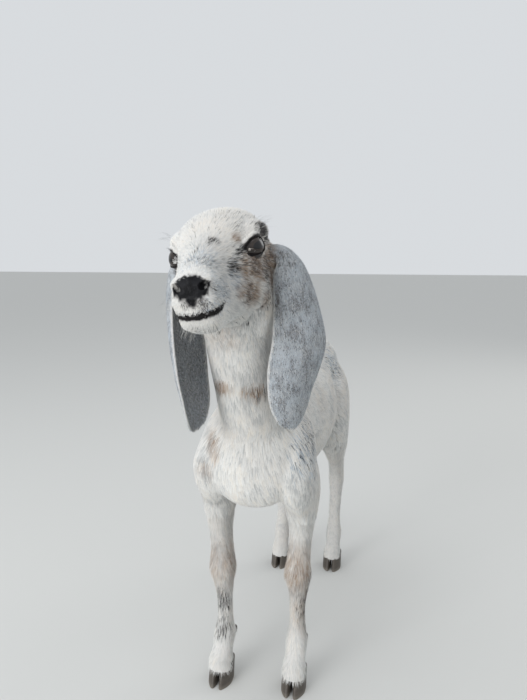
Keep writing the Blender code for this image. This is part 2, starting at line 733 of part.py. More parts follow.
def make_ear(side, name, head):
    """A long leaf, curled almost into a tube at its root and open to a shallow cup below."""
    root = on_head((side * EAR_ROOT.x, EAR_ROOT.y, EAR_ROOT.z))
    table = [(*hang, *leaf) for hang, leaf in zip(EAR_HANG[side], EAR_LEAF, strict=True)]
    table = eased(table, 2)
    ridge = [root + Vector((side * outward, back, -drop)) for outward, back, drop, *_ in table]
    along = np.gradient(np.array(ridge), axis=0)
    shape = bmesh.new()
    rows = []
    for middle, way, (*_, azimuth, width, curl) in zip(ridge, along, table, strict=True):
        # The section stands square to the ridge, which leaves the head sideways and then hangs down
        way = Vector(way).normalized()
        face = math.radians(azimuth)
        fore = Vector((-side * math.cos(face), -math.sin(face), 0))
        fore = (fore - fore.dot(way) * way).normalized()
        out = fore.cross(way) * side
        curl = math.radians(curl)
        radius = width / curl
        row = []
        for k in range(EAR_ACROSS + 1):
            angle = curl * (k / EAR_ACROSS - 0.5)
            place = middle + out * (radius * (math.cos(angle) - 1)) - fore * (radius * math.sin(angle))
            row.append(shape.verts.new(place))
        rows.append(row)
    for low, high in zip(rows, rows[1:], strict=False):
        for k in range(EAR_ACROSS):
            shape.faces.new((low[k], low[k + 1], high[k + 1], high[k]))
    bmesh.ops.triangulate(shape, faces=shape.faces, quad_method="FIXED")
    bmesh.ops.recalc_face_normals(shape, faces=shape.faces)
    mesh = bpy.data.meshes.new("ear_" + name)
    shape.to_mesh(mesh)
    shape.free()
    ear = new_object("ear_" + name, mesh)
    thick = ear.modifiers.new("thickness", "SOLIDIFY")
    thick.thickness = EAR_THICKNESS
    thick.offset = 0
    thick.use_even_offset = True
    thick.use_quality_normals = True
    ear = evaluated(ear)
    grown = copied(head, "grown_head")
    set_points(grown, points_of(grown) + normals_of(grown) * CUT_GAP)
    ear = boolean(ear, grown, "DIFFERENCE")
    ear.name = "ear_" + name
    return finish(largest(ear), GREY_COAT)


# Hooves: two claws on each foot
HOOF_LENGTH = 0.038
CLAW_WIDTH = 0.0150
CLEFT = 0.0022


def claw_outline(inner_side, scale, lean):
    """The outline of one claw at one height, pointed at the toe and straight along the cleft."""
    outline = []
    count = 14
    for k in range(count):
        angle = 2 * math.pi * k / count
        c, s = rounded(angle, 2.4)
        along = s * HOOF_LENGTH / 2 * scale
        narrowing = 1 - 0.42 * max(0.0, s) ** 1.6
        across = (c * 0.5 + 0.5) * CLAW_WIDTH * narrowing * (0.92 + 0.08 * scale)
        outline.append((inner_side * (CLEFT / 2 + across), -along + lean))
    return outline


def make_claw(name, foot, inner_side):
    """One claw, from the flat sole up to the cut at the coronet."""
    rings = []
    for share in (0.0, 0.12, 0.55, 1.0):
        height = share * (CORONET_HEIGHT - CUT_GAP)
        outline = claw_outline(inner_side, 1.0 - 0.20 * share, 0.0075 * share - 0.002)
        rings.append([(foot.x + x, foot.y + y, height) for x, y in outline])
    rings[0] = [
        (foot.x + (x - foot.x) * 0.97, foot.y + (y - foot.y) * 0.97, z) for x, y, z in rings[0]
    ]
    return finish(skin_rings(name, rings), HORN)


def make_hooves():
    for name, (side, rows, step) in LEGS.items():
        foot = Vector(rows(side, step)[-2][:3]) + Vector((0, -0.004, 0))
        for place, inner_side in (("outer", side), ("inner", -side)):
            make_claw(f"hoof_{name.replace('leg', '')}_{place}", foot, inner_side)


# The whole kid

head = make_head()
ears = [make_ear(1, "left", head), make_ear(-1, "right", head)]
finish(head, WHITE_COAT)

body = make_body()
for name in LEGS:
    leg = boolean(copied(body, name), leg_block(name, 0), "INTERSECT")
    leg.name = name
    finish(beyond(largest(leg), (0, 0, CORONET_HEIGHT), UP, gap=CUT_GAP / 2), WHITE_COAT)
for name in LEGS:
    body = boolean(body, leg_block(name, CUT_GAP), "DIFFERENCE")
neck = copied(body, "neck")
neck = beyond(neck, *NECK_BASE, gap=CUT_GAP / 2)
neck = beyond(neck, NECK_TOP[0], -NECK_TOP[1], gap=CUT_GAP / 2)
finish(largest(neck), WHITE_COAT)
tail = boolean(copied(body, "tail"), tail_block(CUT_GAP / 2), "INTERSECT")
finish(largest(tail), WHITE_COAT)
body = boolean(body, tail_block(-CUT_GAP / 2), "DIFFERENCE")
body = beyond(body, NECK_BASE[0], -NECK_BASE[1], gap=CUT_GAP / 2)
body.name = "torso"
finish(largest(body), WHITE_COAT)
make_hooves()

# The middle of the kid's box stands over the origin
corners = np.vstack([points_of(solid) for solid in kid.objects])
middle = (corners.min(axis=0) + corners.max(axis=0)) / 2
for solid in kid.objects:
    solid.data.transform(Matrix.Translation((-middle[0], -middle[1], 0)))
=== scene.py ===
# %% [markdown]
# # A nubian goat kid
#
# The solids of the kid are already built and packed. They say where each part of the animal is and how
# far its coat reaches. This lesson dresses them: one skin under the whole animal, wet eyes, horny hooves,
# and a coat of small solid tufts that follows the lie of the hair.
#
# The frame is loaded first.

import math

import bmesh
import bpy
import numpy as np
from mathutils import Matrix, Vector
from mathutils.bvhtree import BVHTree
from mathutils.kdtree import KDTree


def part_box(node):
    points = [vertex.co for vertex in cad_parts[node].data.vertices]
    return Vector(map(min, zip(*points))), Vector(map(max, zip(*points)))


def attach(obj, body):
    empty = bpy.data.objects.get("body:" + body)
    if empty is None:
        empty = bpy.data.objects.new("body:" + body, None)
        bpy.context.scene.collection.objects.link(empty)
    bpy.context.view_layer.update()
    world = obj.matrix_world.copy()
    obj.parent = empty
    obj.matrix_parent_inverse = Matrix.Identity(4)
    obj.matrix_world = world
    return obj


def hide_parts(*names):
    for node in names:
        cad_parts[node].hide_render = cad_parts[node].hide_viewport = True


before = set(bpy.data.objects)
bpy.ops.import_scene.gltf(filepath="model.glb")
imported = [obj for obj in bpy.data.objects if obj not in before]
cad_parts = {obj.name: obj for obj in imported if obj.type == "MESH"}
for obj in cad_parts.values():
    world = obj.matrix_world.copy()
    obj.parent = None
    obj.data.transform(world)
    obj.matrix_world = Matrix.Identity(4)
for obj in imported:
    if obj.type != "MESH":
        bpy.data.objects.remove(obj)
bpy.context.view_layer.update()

# %% [markdown]
# ## Sizes
#
# The source of the solids works in named sizes, with the kid facing -Y and its left side at +X. The same
# names and numbers are used here, so that skin and solids have the same bones. The source then moves the
# middle of the kid's box over the origin, so everything here is moved by the same small shift, which is
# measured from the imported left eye.

# %% Sizes that the solids and the skin share
WITHERS_HEIGHT = 0.428
HIP_HEIGHT = 0.438
CHEST_FLOOR = 0.252
BARREL_HALF_WIDTH = 0.070
ELBOW_HEIGHT = 0.268
KNEE_HEIGHT = 0.157
FETLOCK_HEIGHT = 0.060
CORONET_HEIGHT = 0.026
HOCK_HEIGHT = 0.176
STIFLE_HEIGHT = 0.275
FORELEG_Y, FORELEG_X = -0.117, 0.050
HINDLEG_Y, HINDLEG_X = 0.196, 0.048

HEAD_YAW = math.radians(2.6)
HEAD_PITCH = math.radians(0.5)
HEAD_ROLL = math.radians(8.4)
EYEBALL_RADIUS = 0.0135
EYE_OFFSET = Vector((0.0352, -0.0004, 0.0004))
EYE_AZIMUTH = math.radians(55)
EYE_ELEVATION = math.radians(6)
LID_OPENING = (math.radians(54), math.radians(33))
EAR_ROOT = Vector((0.048, 0.036, 0.0))
UP = Vector((0, 0, 1))
FORWARD = Vector((0, -1, 0))

HEAD_TURN = (
    Matrix.Rotation(HEAD_YAW, 3, "Z")
    @ Matrix.Rotation(HEAD_PITCH, 3, "X")
    @ Matrix.Rotation(-HEAD_ROLL, 3, "Y")
)
EYE_MIDPOINT = Vector((-0.004, -0.262, 0.566))
low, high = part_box("eye_left")
SHIFT = (Vector(low) + Vector(high)) / 2 - (EYE_MIDPOINT + HEAD_TURN @ EYE_OFFSET)
SHIFT.z = 0
EYE_MIDPOINT = EYE_MIDPOINT + SHIFT
HEAD_PLACE = Matrix.Translation(EYE_MIDPOINT) @ HEAD_TURN.to_4x4()
print("shift of the frame, metres:", [round(c, 4) for c in SHIFT])


def on_head(place):
    """A point of the level head's own frame, in the kid's frame."""
    return EYE_MIDPOINT + HEAD_TURN @ Vector(place)


def in_head(points):
    """Points of the kid's frame, in the level head's own frame."""
    return (points - np.array(EYE_MIDPOINT)) @ np.array(HEAD_TURN)


# %% [markdown]
# ## Camera, floor and light
#
# The camera stands just below the height of the kid's eyes, a little to its left, as for the photograph.
# It keeps the head at the photograph's place, size and angle. A pale floor and three large soft lamps give
# an even daylight.

# %% Camera
PHOTO_WIDTH, PHOTO_HEIGHT, PHOTO_FOCAL = 527, 700, 580
camera = bpy.data.objects.new("camera", bpy.data.cameras.new("camera"))
bpy.context.scene.collection.objects.link(camera)
bpy.context.scene.camera = camera
camera.data.sensor_fit = "VERTICAL"
camera.data.sensor_height = 36
camera.data.lens = 36 * PHOTO_FOCAL / PHOTO_HEIGHT
camera.data.clip_start = 0.05
VIEW = Matrix.Rotation(math.radians(16), 3, "Z") @ Matrix.Rotation(math.radians(-9), 3, "X")
CAMERA_PLACE = EYE_MIDPOINT - VIEW @ Vector((-0.0466, 0.5716, 0.0947))
right, ahead, above = VIEW.col
camera_turn = Matrix((right, above, -ahead)).transposed()
camera.matrix_world = Matrix.Translation(CAMERA_PLACE) @ camera_turn.to_4x4()
print("camera at", [round(c, 3) for c in CAMERA_PLACE])


def ray_through(x, y):
    """The direction in which the camera sees a pixel of the photograph."""
    across, rise = (x - PHOTO_WIDTH / 2) / PHOTO_FOCAL, (PHOTO_HEIGHT / 2 - y) / PHOTO_FOCAL
    return (VIEW @ Vector((across, 1, rise))).normalized()


# %% Floor and lamps
def fresh(name):
    """A new material, its node tree and its Principled node."""
    made = bpy.data.materials.new(name)
    made.use_nodes = True
    return made, made.node_tree, made.node_tree.nodes["Principled BSDF"]


def soft_lamp(name, place, aim, size, power, colour, gleam):
    """A round lamp that looks from its place at the point it is aimed at."""
    lamp = bpy.data.lights.new(name, "AREA")
    lamp.shape = "DISK"
    lamp.specular_factor = gleam
    lamp.size, lamp.energy, lamp.color = size, power, colour
    holder = bpy.data.objects.new(name, lamp)
    bpy.context.scene.collection.objects.link(holder)
    holder.location = place
    holder.rotation_euler = (Vector(aim) - Vector(place)).to_track_quat("-Z", "Y").to_euler()


bpy.ops.object.select_all(action="DESELECT")
bpy.ops.mesh.primitive_plane_add(size=40)
floor = bpy.context.object
floor.name = "floor"
pale_floor, _, floor_shader = fresh("pale_floor")
floor_shader.inputs["Base Color"].default_value = (0.62, 0.62, 0.60, 1)
floor_shader.inputs["Roughness"].default_value = 0.8
floor.data.materials.append(pale_floor)
soft_lamp("sky", (-0.5, -0.7, 2.5), (0, 0, 0.3), 2.4, 17, (0.95, 0.975, 1.0), 0.8)
soft_lamp("window", (-1.3, -2.6, 0.9), (0, -0.1, 0.36), 1.6, 42, (0.985, 0.99, 1.0), 0.25)
soft_lamp("behind", (1.6, 1.9, 1.7), (0, 0, 0.3), 1.6, 10, (1.0, 0.99, 0.97), 0.1)
world = bpy.data.worlds.new("daylight")
bpy.context.scene.world = world
world.use_nodes = True
world.node_tree.nodes["Background"].inputs["Color"].default_value = (0.86, 0.89, 0.92, 1)
world.node_tree.nodes["Background"].inputs["Strength"].default_value = 0.80
bpy.context.scene.view_settings.view_transform = "Standard"
print("stage ready:", floor.name, "and", len(bpy.data.lights), "lamps")

# %% [markdown]
# ## Helpers for soft forms
#
# Flesh has no edges to extrude from, so its forms are lofted: a table holds a few cross sections, a smooth
# curve is drawn through them, and rings of points are joined into a closed tube. Overlapping tubes are
# then fused by a voxel remesh and smoothed, as clay is worked together.


# %% Lofts
def new_object(name, data):
    made = bpy.data.objects.new(name, data)
    bpy.context.scene.collection.objects.link(made)
    return made


def eased(rows, steps):
    """A smooth curve through the rows, with this many steps between each two of them."""
    rows = np.array(rows, float)
    padded = np.vstack([2 * rows[0] - rows[1], rows, 2 * rows[-1] - rows[-2]])
    found = []
    for a, b, c, d in zip(padded, padded[1:], padded[2:], padded[3:], strict=False):
        for t in np.arange(steps) / steps:
            found.append(
                0.5 * (2 * b + (c - a) * t + (2 * a - 5 * b + 4 * c - d) * t**2)
                + 0.5 * (3 * b - a - 3 * c + d) * t**3
            )
    return np.array([*found, rows[-1]])


def skin_rings(name, rings):
    """A closed solid through a stack of rings that have the same number of points."""
    shape = bmesh.new()
    rows = [[shape.verts.new(p) for p in ring] for ring in rings]
    for below, over in zip(rows, rows[1:], strict=False):
        for i in range(len(below)):
            j = (i + 1) % len(below)
            shape.faces.new((below[i], below[j], over[j], over[i]))
    ends = [shape.faces.new(rows[0][::-1]), shape.faces.new(rows[-1])]
    bmesh.ops.triangulate(shape, faces=ends)
    bmesh.ops.recalc_face_normals(shape, faces=shape.faces)
    mesh = bpy.data.meshes.new(name)
    shape.to_mesh(mesh)
    shape.free()
    return new_object(name, mesh)


def rounded(angle, power):
    """A point of a circle, or of a squarer outline where power is over 2."""
    c, s = math.cos(angle), math.sin(angle)
    return math.copysign(abs(c) ** (2 / power), c), math.copysign(abs(s) ** (2 / power), s)


def limb(name, rows, sides=32, steps=6, power=2.15):
    """A loft along a path. A row holds x, y, z, the half width, the reach forward and the reach back."""
    rows = eased(rows, steps)
    along = np.gradient(rows[:, :3], axis=0)
    rings = []
    for row, direction in zip(rows, along, strict=True):
        tangent = Vector(direction).normalized()
        fore = (FORWARD - FORWARD.dot(tangent) * tangent).normalized()
        side = fore.cross(tangent).normalized()
        ring = []
        for k in range(sides):
            c, s = rounded(2 * math.pi * k / sides, power)
            reach = row[4] if s > 0 else row[5]
            ring.append(Vector(row[:3]) + SHIFT + side * (c * row[3]) + fore * (s * reach))
        rings.append(ring)
    return skin_rings(name, rings)


def trunk(name, rows, shift, sides=48, steps=6):
    """A loft of upright sections: y, top, floor, half width, height of the widest place, power."""
    rings = []
    for y, top, floor_height, width, middle, power in eased(rows, steps):
        ring = []
        for k in range(sides):
            c, s = rounded(2 * math.pi * k / sides, power)
            reach = top - middle if s > 0 else middle - floor_height
            ring.append(Vector((c * width, y, middle + s * reach)) + shift)
        rings.append(ring)
    return skin_rings(name, rings)


def ball(name, centre, radii, turn=None, segments=32):
    """An ellipsoid, turned about its centre."""
    bpy.ops.object.select_all(action="DESELECT")
    bpy.ops.mesh.primitive_uv_sphere_add(segments=segments, ring_count=segments * 2 // 3, radius=1)
    made = bpy.context.object
    made.name = name
    made.data.transform(Matrix.Diagonal((*radii, 1)))
    if turn is not None:
        made.data.transform(turn.to_4x4())
    made.data.transform(Matrix.Translation(centre))
    return made


# %% Fusing, smoothing, cutting
def applied(piece, kind, **settings):
    """Adds a modifier with these settings and applies it."""
    step = piece.modifiers.new(kind.lower(), kind)
    for key, value in settings.items():
        setattr(step, key, value)
    bpy.ops.object.select_all(action="DESELECT")
    bpy.context.view_layer.objects.active = piece
    piece.select_set(True)
    bpy.ops.object.modifier_apply(modifier=step.name)
    return piece


def joined(name, parts):
    """One object that holds the faces of several."""
    bpy.ops.object.select_all(action="DESELECT")
    for part in parts:
        part.select_set(True)
    bpy.context.view_layer.objects.active = parts[0]
    bpy.ops.object.join()
    parts[0].name = name
    return parts[0]


def fused(name, parts, voxel, smoothing):
    """Overlapping closed pieces as one soft, closed surface."""
    made = joined(name, parts)
    applied(made, "REMESH", mode="VOXEL", voxel_size=voxel, adaptivity=0)
    return applied(made, "SMOOTH", factor=0.5, iterations=smoothing)


def cut(piece, other, operation="DIFFERENCE"):
    """Cuts or joins two closed forms. The other form is removed."""
    applied(piece, "BOOLEAN", operation=operation, object=other, solver="MANIFOLD")
    bpy.data.objects.remove(other, do_unlink=True)
    return piece


def read(piece, key="co"):
    """The places of a mesh's points, or their normals, as an array."""
    found = np.empty(len(piece.data.vertices) * 3, np.float32)
    piece.data.vertices.foreach_get(key, found)
    return found.reshape(-1, 3).astype(float)


def write(piece, points):
    piece.data.vertices.foreach_set("co", points.astype(np.float32).ravel())
    piece.data.update()


def swell(piece, centre, reach, amount):
    """Raises the surface round a place, or sinks it where amount is negative, as with a soft brush."""
    points = read(piece)
    away = np.linalg.norm((points - np.array(centre)) / np.array(reach), axis=1)
    write(piece, points + read(piece, "normal") * (np.exp(-2 * away**2) * amount)[:, None])


def half_plane(piece, place, normal):
    """Keeps the side of a closed form that the normal points to, closed by a flat face."""
    shape = bmesh.new()
    shape.from_mesh(piece.data)
    everything = [*shape.verts, *shape.edges, *shape.faces]
    bmesh.ops.bisect_plane(
        shape, geom=everything, dist=1e-7, plane_co=place, plane_no=normal, clear_inner=True
    )
    rim = [edge for edge in shape.edges if edge.is_boundary]
    caps = bmesh.ops.holes_fill(shape, edges=rim, sides=0)["faces"]
    bmesh.ops.triangulate(shape, faces=caps)
    bmesh.ops.recalc_face_normals(shape, faces=shape.faces)
    shape.to_mesh(piece.data)
    shape.free()
    return piece


def triangles(piece):
    return sum(len(p.vertices) - 2 for p in piece.data.polygons)


def tree_of(*meshes):
    """A search tree of the faces of one or more meshes."""
    places, faces = [], []
    for mesh in meshes:
        faces += [[len(places) + i for i in face.vertices] for face in mesh.polygons]
        places += [v.co for v in mesh.vertices]
    return BVHTree.FromPolygons(places, faces)


# %% [markdown]
# ## The body's skin
#
# A kid of six weeks is long in the leg, flat in the side and light in the neck. The tables hold the same
# sections as the solids. Under the coat the skin lies deeper: by about 5 mm on the trunk, less on
# the neck and least on the shins, so the finished form is moved inwards by a depth that changes with the
# place.

# %% Trunk, neck, tail and legs as tables
TORSO = [
    # y, top, floor, half width, height of the widest place, power
    (-0.192, 0.338, 0.294, 0.022, 0.318, 2.0),
    (-0.184, 0.362, 0.274, 0.042, 0.318, 2.1),
    (-0.165, 0.388, 0.260, 0.056, 0.322, 2.2),
    (-0.135, 0.412, CHEST_FLOOR + 0.001, 0.062, 0.328, 2.2),
    (-0.095, WITHERS_HEIGHT - 0.003, CHEST_FLOOR - 0.003, 0.062, 0.330, 2.1),
    (-0.060, WITHERS_HEIGHT, CHEST_FLOOR - 0.004, 0.063, 0.330, 2.1),
    (-0.010, WITHERS_HEIGHT - 0.005, CHEST_FLOOR - 0.002, 0.068, 0.328, 2.1),
    (0.040, WITHERS_HEIGHT - 0.006, CHEST_FLOOR + 0.002, BARREL_HALF_WIDTH, 0.326, 2.1),
    (0.085, WITHERS_HEIGHT - 0.001, CHEST_FLOOR + 0.012, BARREL_HALF_WIDTH - 0.004, 0.332, 2.1),
    (0.125, HIP_HEIGHT - 0.001, 0.282, 0.060, 0.352, 2.2),
    (0.160, HIP_HEIGHT, 0.304, 0.056, 0.372, 2.3),
    (0.190, HIP_HEIGHT - 0.014, 0.322, 0.049, 0.372, 2.2),
    (0.212, HIP_HEIGHT - 0.030, 0.336, 0.037, 0.374, 2.1),
    (0.225, HIP_HEIGHT - 0.052, 0.354, 0.020, 0.374, 2.0),
]
# Neck and tail: x, y, z, half width, reach forward, reach back
NECK = [
    (0.000, -0.100, 0.350, 0.050, 0.080, 0.070),
    (0.000, -0.134, 0.390, 0.048, 0.064, 0.060),
    (-0.001, -0.160, 0.424, 0.0425, 0.052, 0.050),
    (-0.002, -0.181, 0.457, 0.0405, 0.046, 0.044),
    (-0.002, -0.198, 0.490, 0.0405, 0.043, 0.040),
    (-0.002, -0.211, 0.520, 0.0435, 0.049, 0.041),
    (-0.001, -0.220, 0.545, 0.0445, 0.048, 0.041),
    (-0.002, -0.226, 0.566, 0.0340, 0.034, 0.034),
    (-0.003, -0.230, 0.580, 0.0200, 0.022, 0.026),
]
TAIL = [
    (0.0, 0.190, 0.414, 0.015, 0.013, 0.013),
    (0.0, 0.214, 0.413, 0.0145, 0.012, 0.012),
    (0.0, 0.234, 0.405, 0.0150, 0.0110, 0.011),
    (0.0, 0.248, 0.388, 0.0160, 0.0100, 0.011),
    (0.0, 0.256, 0.366, 0.0140, 0.0085, 0.010),
    (0.0, 0.260, 0.345, 0.0090, 0.0060, 0.008),
    (0.0, 0.262, 0.329, 0.0035, 0.0030, 0.004),
]


def foreleg_rows(side, step):
    """The left or right foreleg, whose foot stands this far behind the common line."""
    x, y = side * FORELEG_X, FORELEG_Y + step
    wide = side * 0.001
    return [
        (side * 0.032, FORELEG_Y + 0.026, WITHERS_HEIGHT - 0.040, 0.014, 0.030, 0.032),
        (side * 0.046, FORELEG_Y - 0.006, WITHERS_HEIGHT - 0.082, 0.021, 0.044, 0.050),
        (side * 0.053, FORELEG_Y - 0.026, WITHERS_HEIGHT - 0.122, 0.023, 0.040, 0.050),
        (side * 0.055, FORELEG_Y - 0.006 + step * 0.2, ELBOW_HEIGHT + 0.004, 0.023, 0.036, 0.044),
        (side * 0.054, y + 0.001, ELBOW_HEIGHT - 0.030, 0.0195, 0.026, 0.031),
        (x + 3 * wide, y + 0.001, ELBOW_HEIGHT - 0.062, 0.0160, 0.0195, 0.0215),
        (x + wide, y, KNEE_HEIGHT + 0.022, 0.0165, 0.0180, 0.0165),
        (x, y - 0.001, KNEE_HEIGHT, 0.0190, 0.0200, 0.0175),
        (x, y + 0.001, KNEE_HEIGHT - 0.020, 0.0155, 0.0160, 0.0160),
        (x - wide, y + 0.002, KNEE_HEIGHT - 0.046, 0.0120, 0.0128, 0.0140),
        (x - wide, y + 0.002, FETLOCK_HEIGHT + 0.022, 0.0122, 0.0128, 0.0142),
        (x - wide, y, FETLOCK_HEIGHT, 0.0155, 0.0150, 0.0170),
        (x - wide, y - 0.007, FETLOCK_HEIGHT - 0.016, 0.0145, 0.0135, 0.0145),
        (x - wide, y - 0.013, CORONET_HEIGHT + 0.005, 0.0165, 0.0165, 0.0165),
        (x - wide, y - 0.018, CORONET_HEIGHT - 0.012, 0.0165, 0.0165, 0.0165),
    ]


def hindleg_rows(side, step):
    x, y = side * HINDLEG_X, HINDLEG_Y + step
    wide = side * 0.001
    return [
        (side * 0.030, HINDLEG_Y - 0.050, HIP_HEIGHT - 0.036, 0.015, 0.036, 0.034),
        (side * 0.044, HINDLEG_Y - 0.052, HIP_HEIGHT - 0.085, 0.028, 0.058, 0.070),
        (side * 0.050, HINDLEG_Y - 0.064, STIFLE_HEIGHT + 0.034, 0.029, 0.048, 0.068),
        (side * 0.053, HINDLEG_Y - 0.062, STIFLE_HEIGHT, 0.026, 0.038, 0.062),
        (side * 0.053, y - 0.048, STIFLE_HEIGHT - 0.034, 0.0205, 0.029, 0.041),
        (x + 3 * wide, y - 0.021, HOCK_HEIGHT + 0.034, 0.0155, 0.021, 0.025),
        (x + wide, y - 0.001, HOCK_HEIGHT + 0.008, 0.0145, 0.0190, 0.0215),
        (x, y + 0.006, HOCK_HEIGHT - 0.016, 0.0152, 0.0165, 0.0180),
        (x, y + 0.004, HOCK_HEIGHT - 0.042, 0.0125, 0.0140, 0.0145),
        (x - wide, y, HOCK_HEIGHT - 0.076, 0.0118, 0.0128, 0.0138),
        (x - wide, y - 0.003, FETLOCK_HEIGHT + 0.020, 0.0125, 0.0130, 0.0145),
        (x - wide, y - 0.005, FETLOCK_HEIGHT, 0.0155, 0.0150, 0.0170),
        (x - wide, y - 0.012, FETLOCK_HEIGHT - 0.017, 0.0142, 0.0133, 0.0145),
        (x - wide, y - 0.018, CORONET_HEIGHT + 0.005, 0.0160, 0.0160, 0.0160),
        (x - wide, y - 0.023, CORONET_HEIGHT - 0.012, 0.0160, 0.0160, 0.0160),
    ]


LEGS = {
    # name: side, rows, how far the foot stands behind the common line
    "foreleg_left": (1, foreleg_rows, 0.000),
    "foreleg_right": (-1, foreleg_rows, -0.010),
    "hindleg_left": (1, hindleg_rows, 0.012),
    "hindleg_right": (-1, hindleg_rows, -0.004),
}


# %% Fuse the body and sink it to the skin's depth
def ramp(values, start, end):
    """From 0 at start to 1 at end, with soft ends."""
    t = np.clip((values - start) / (end - start), 0, 1)
    return t * t * (3 - 2 * t)


def body_depth(points):
    """How deep the skin lies under the tips of the coat, on the trunk, neck and legs."""
    y, z = points[:, 1] - SHIFT.y, points[:, 2]
    depth = 0.0020 + 0.0026 * ramp(z, 0.19, 0.29)
    depth = depth - 0.0010 * ramp(z, 0.43, 0.50) * (y < -0.1)
    return np.minimum(depth, 0.0012 + 0.04 * np.maximum(z - 0.02, 0))


BODY_SWELLS = [
    # Point of the shoulder, hip bone and stifle, then the hollows behind the elbow and before the hip
    ((0.060, -0.168, 0.312), (0.026, 0.026, 0.026), 0.004),
    ((0.050, 0.112, 0.428), (0.022, 0.022, 0.020), 0.004),
    ((0.052, 0.092, 0.300), (0.024, 0.024, 0.026), 0.004),
    ((0.060, -0.060, 0.300), (0.022, 0.018, 0.030), -0.003),
    ((0.060, 0.108, 0.372), (0.022, 0.030, 0.026), -0.005),
]


def make_body():
    pieces = [trunk("trunk", TORSO, SHIFT), limb("neck_form", NECK), limb("tail_form", TAIL, sides=18)]
    for name, (side, rows, step) in LEGS.items():
        pieces.append(limb(name + "_form", rows(side, step)))
        fetlock = Vector(rows(side, step)[-4][:3]) + SHIFT
        for across in (-1, 1):
            place = fetlock + Vector((across * 0.0085, 0.0145, -0.004))
            pieces.append(ball("dewclaw", place, (0.0055, 0.0060, 0.0075), segments=16))
    body = fused("body_form", pieces, 0.0019, 34)
    for side, leg in ((-1, "hindleg_right"), (1, "hindleg_left")):
        for (x, y, z), reach, amount in BODY_SWELLS:
            swell(body, (side * x + SHIFT.x, y + SHIFT.y, z), reach, amount)
        hock_y = HINDLEG_Y + LEGS[leg][2] + 0.024 + SHIFT.y
        swell(body, (side * HINDLEG_X + SHIFT.x, hock_y, HOCK_HEIGHT + 0.010), (0.012, 0.010, 0.012), 0.003)
    swell(body, (SHIFT.x, -0.192 + SHIFT.y, 0.312), (0.020, 0.016, 0.030), 0.005)
    points = read(body)
    write(body, points - read(body, "normal") * body_depth(points)[:, None])
    return applied(body, "SMOOTH", factor=0.5, iterations=6)


body = make_body()
print("body's skin:", triangles(body), "triangles")

# %% [markdown]
# ## The head's skin
#
# The head gets the most care. The skull, cheeks, eye sockets and ear bosses are lofted and fused on a much
# finer grid than the body. The lids are a ring round each opening, and a soft brush then raises and
# sinks the places that give a kid its look: the brow over the eye, the bone under it, the wing of the
# nostril, the full upper lip and the small chin.

# %% Skull table and the eyes' directions
HEAD = [
    # how far forward, top, floor, half width, height of the widest place, power
    (0.0890, -0.026, -0.046, 0.0095, -0.035, 2.0),
    (0.0865, -0.0185, -0.056, 0.0170, -0.038, 2.3),
    (0.080, -0.0125, -0.0650, 0.0208, -0.042, 2.5),
    (0.070, -0.0055, -0.0710, 0.0224, -0.045, 2.5),
    (0.057, 0.0030, -0.0725, 0.0236, -0.042, 2.4),
    (0.042, 0.0120, -0.0705, 0.0268, -0.034, 2.3),
    (0.026, 0.0222, -0.0685, 0.0325, -0.022, 2.25),
    (0.010, 0.0325, -0.0670, 0.0390, -0.010, 2.35),
    (-0.008, 0.0415, -0.0650, 0.0460, 0.000, 2.25),
    (-0.026, 0.0455, -0.0600, 0.0480, 0.000, 2.2),
    (-0.043, 0.0425, -0.0480, 0.0435, 0.000, 2.1),
    (-0.057, 0.0320, -0.0310, 0.0305, 0.000, 2.1),
    (-0.066, 0.0170, -0.0130, 0.0165, 0.001, 2.0),
]


def eye_centre(side):
    return Vector((side * EYE_OFFSET.x, EYE_OFFSET.y, EYE_OFFSET.z))


def eye_axes(side):
    """Out of the eye, towards its front corner, and up across it, in the head's own frame."""
    flat, rise = math.cos(EYE_ELEVATION), math.sin(EYE_ELEVATION)
    out = Vector((side * math.sin(EYE_AZIMUTH) * flat, -math.cos(EYE_AZIMUTH) * flat, rise))
    front = (FORWARD - FORWARD.dot(out) * out).normalized()
    # The opening slants down towards the nose
    front = Matrix.Rotation(side * math.radians(12), 3, out) @ front
    up = front.cross(out) * -side
    return out, front, up if up.z > 0 else -up


def lid_direction(side, angle, widen=1.0):
    """From the middle of the eyeball towards a place on the lids' edge."""
    out, front, up = eye_axes(side)
    across, high = (a * widen for a in LID_OPENING)
    # The front corner is drawn out to a point, where the tears collect
    across *= 1 + 0.16 * max(0.0, math.cos(angle)) ** 6
    h, v = across * math.cos(angle), high * math.sin(angle)
    spread = math.hypot(h, v)
    flat = (front * h + up * v) / spread
    return out * math.cos(spread) + flat * math.sin(spread)


# %% Lids, eye openings and grooves
def eye_opening(side):
    """A flared plug that clears the flesh in front of the eyeball, between the lids."""
    centre, steps = eye_centre(side), 40
    rings = []
    for reach in (0.93, 1.10, 1.35, 1.9):
        angles = [2 * math.pi * k / steps for k in range(steps)]
        rings.append([centre + lid_direction(side, a) * (EYEBALL_RADIUS * reach) for a in angles])
    return skin_rings("opening", rings)


def tube(name, places, radii, cyclic=False):
    """A round tube along a line of places."""
    path = bpy.data.curves.new(name, "CURVE")
    path.dimensions = "3D"
    path.bevel_depth = 1
    path.bevel_resolution = 3
    path.use_fill_caps = True
    line = path.splines.new("POLY")
    line.points.add(len(places) - 1)
    line.use_cyclic_u = cyclic
    for point, place, radius in zip(line.points, places, radii, strict=True):
        point.co = (*place, 1)
        point.radius = radius
    holder = new_object(name, path)
    mesh = bpy.data.meshes.new_from_object(holder)
    bpy.data.objects.remove(holder, do_unlink=True)
    shape = bmesh.new()
    shape.from_mesh(mesh)
    bmesh.ops.remove_doubles(shape, verts=shape.verts, dist=1e-6)
    bmesh.ops.recalc_face_normals(shape, faces=shape.faces)
    shape.to_mesh(mesh)
    shape.free()
    return new_object(name, mesh)


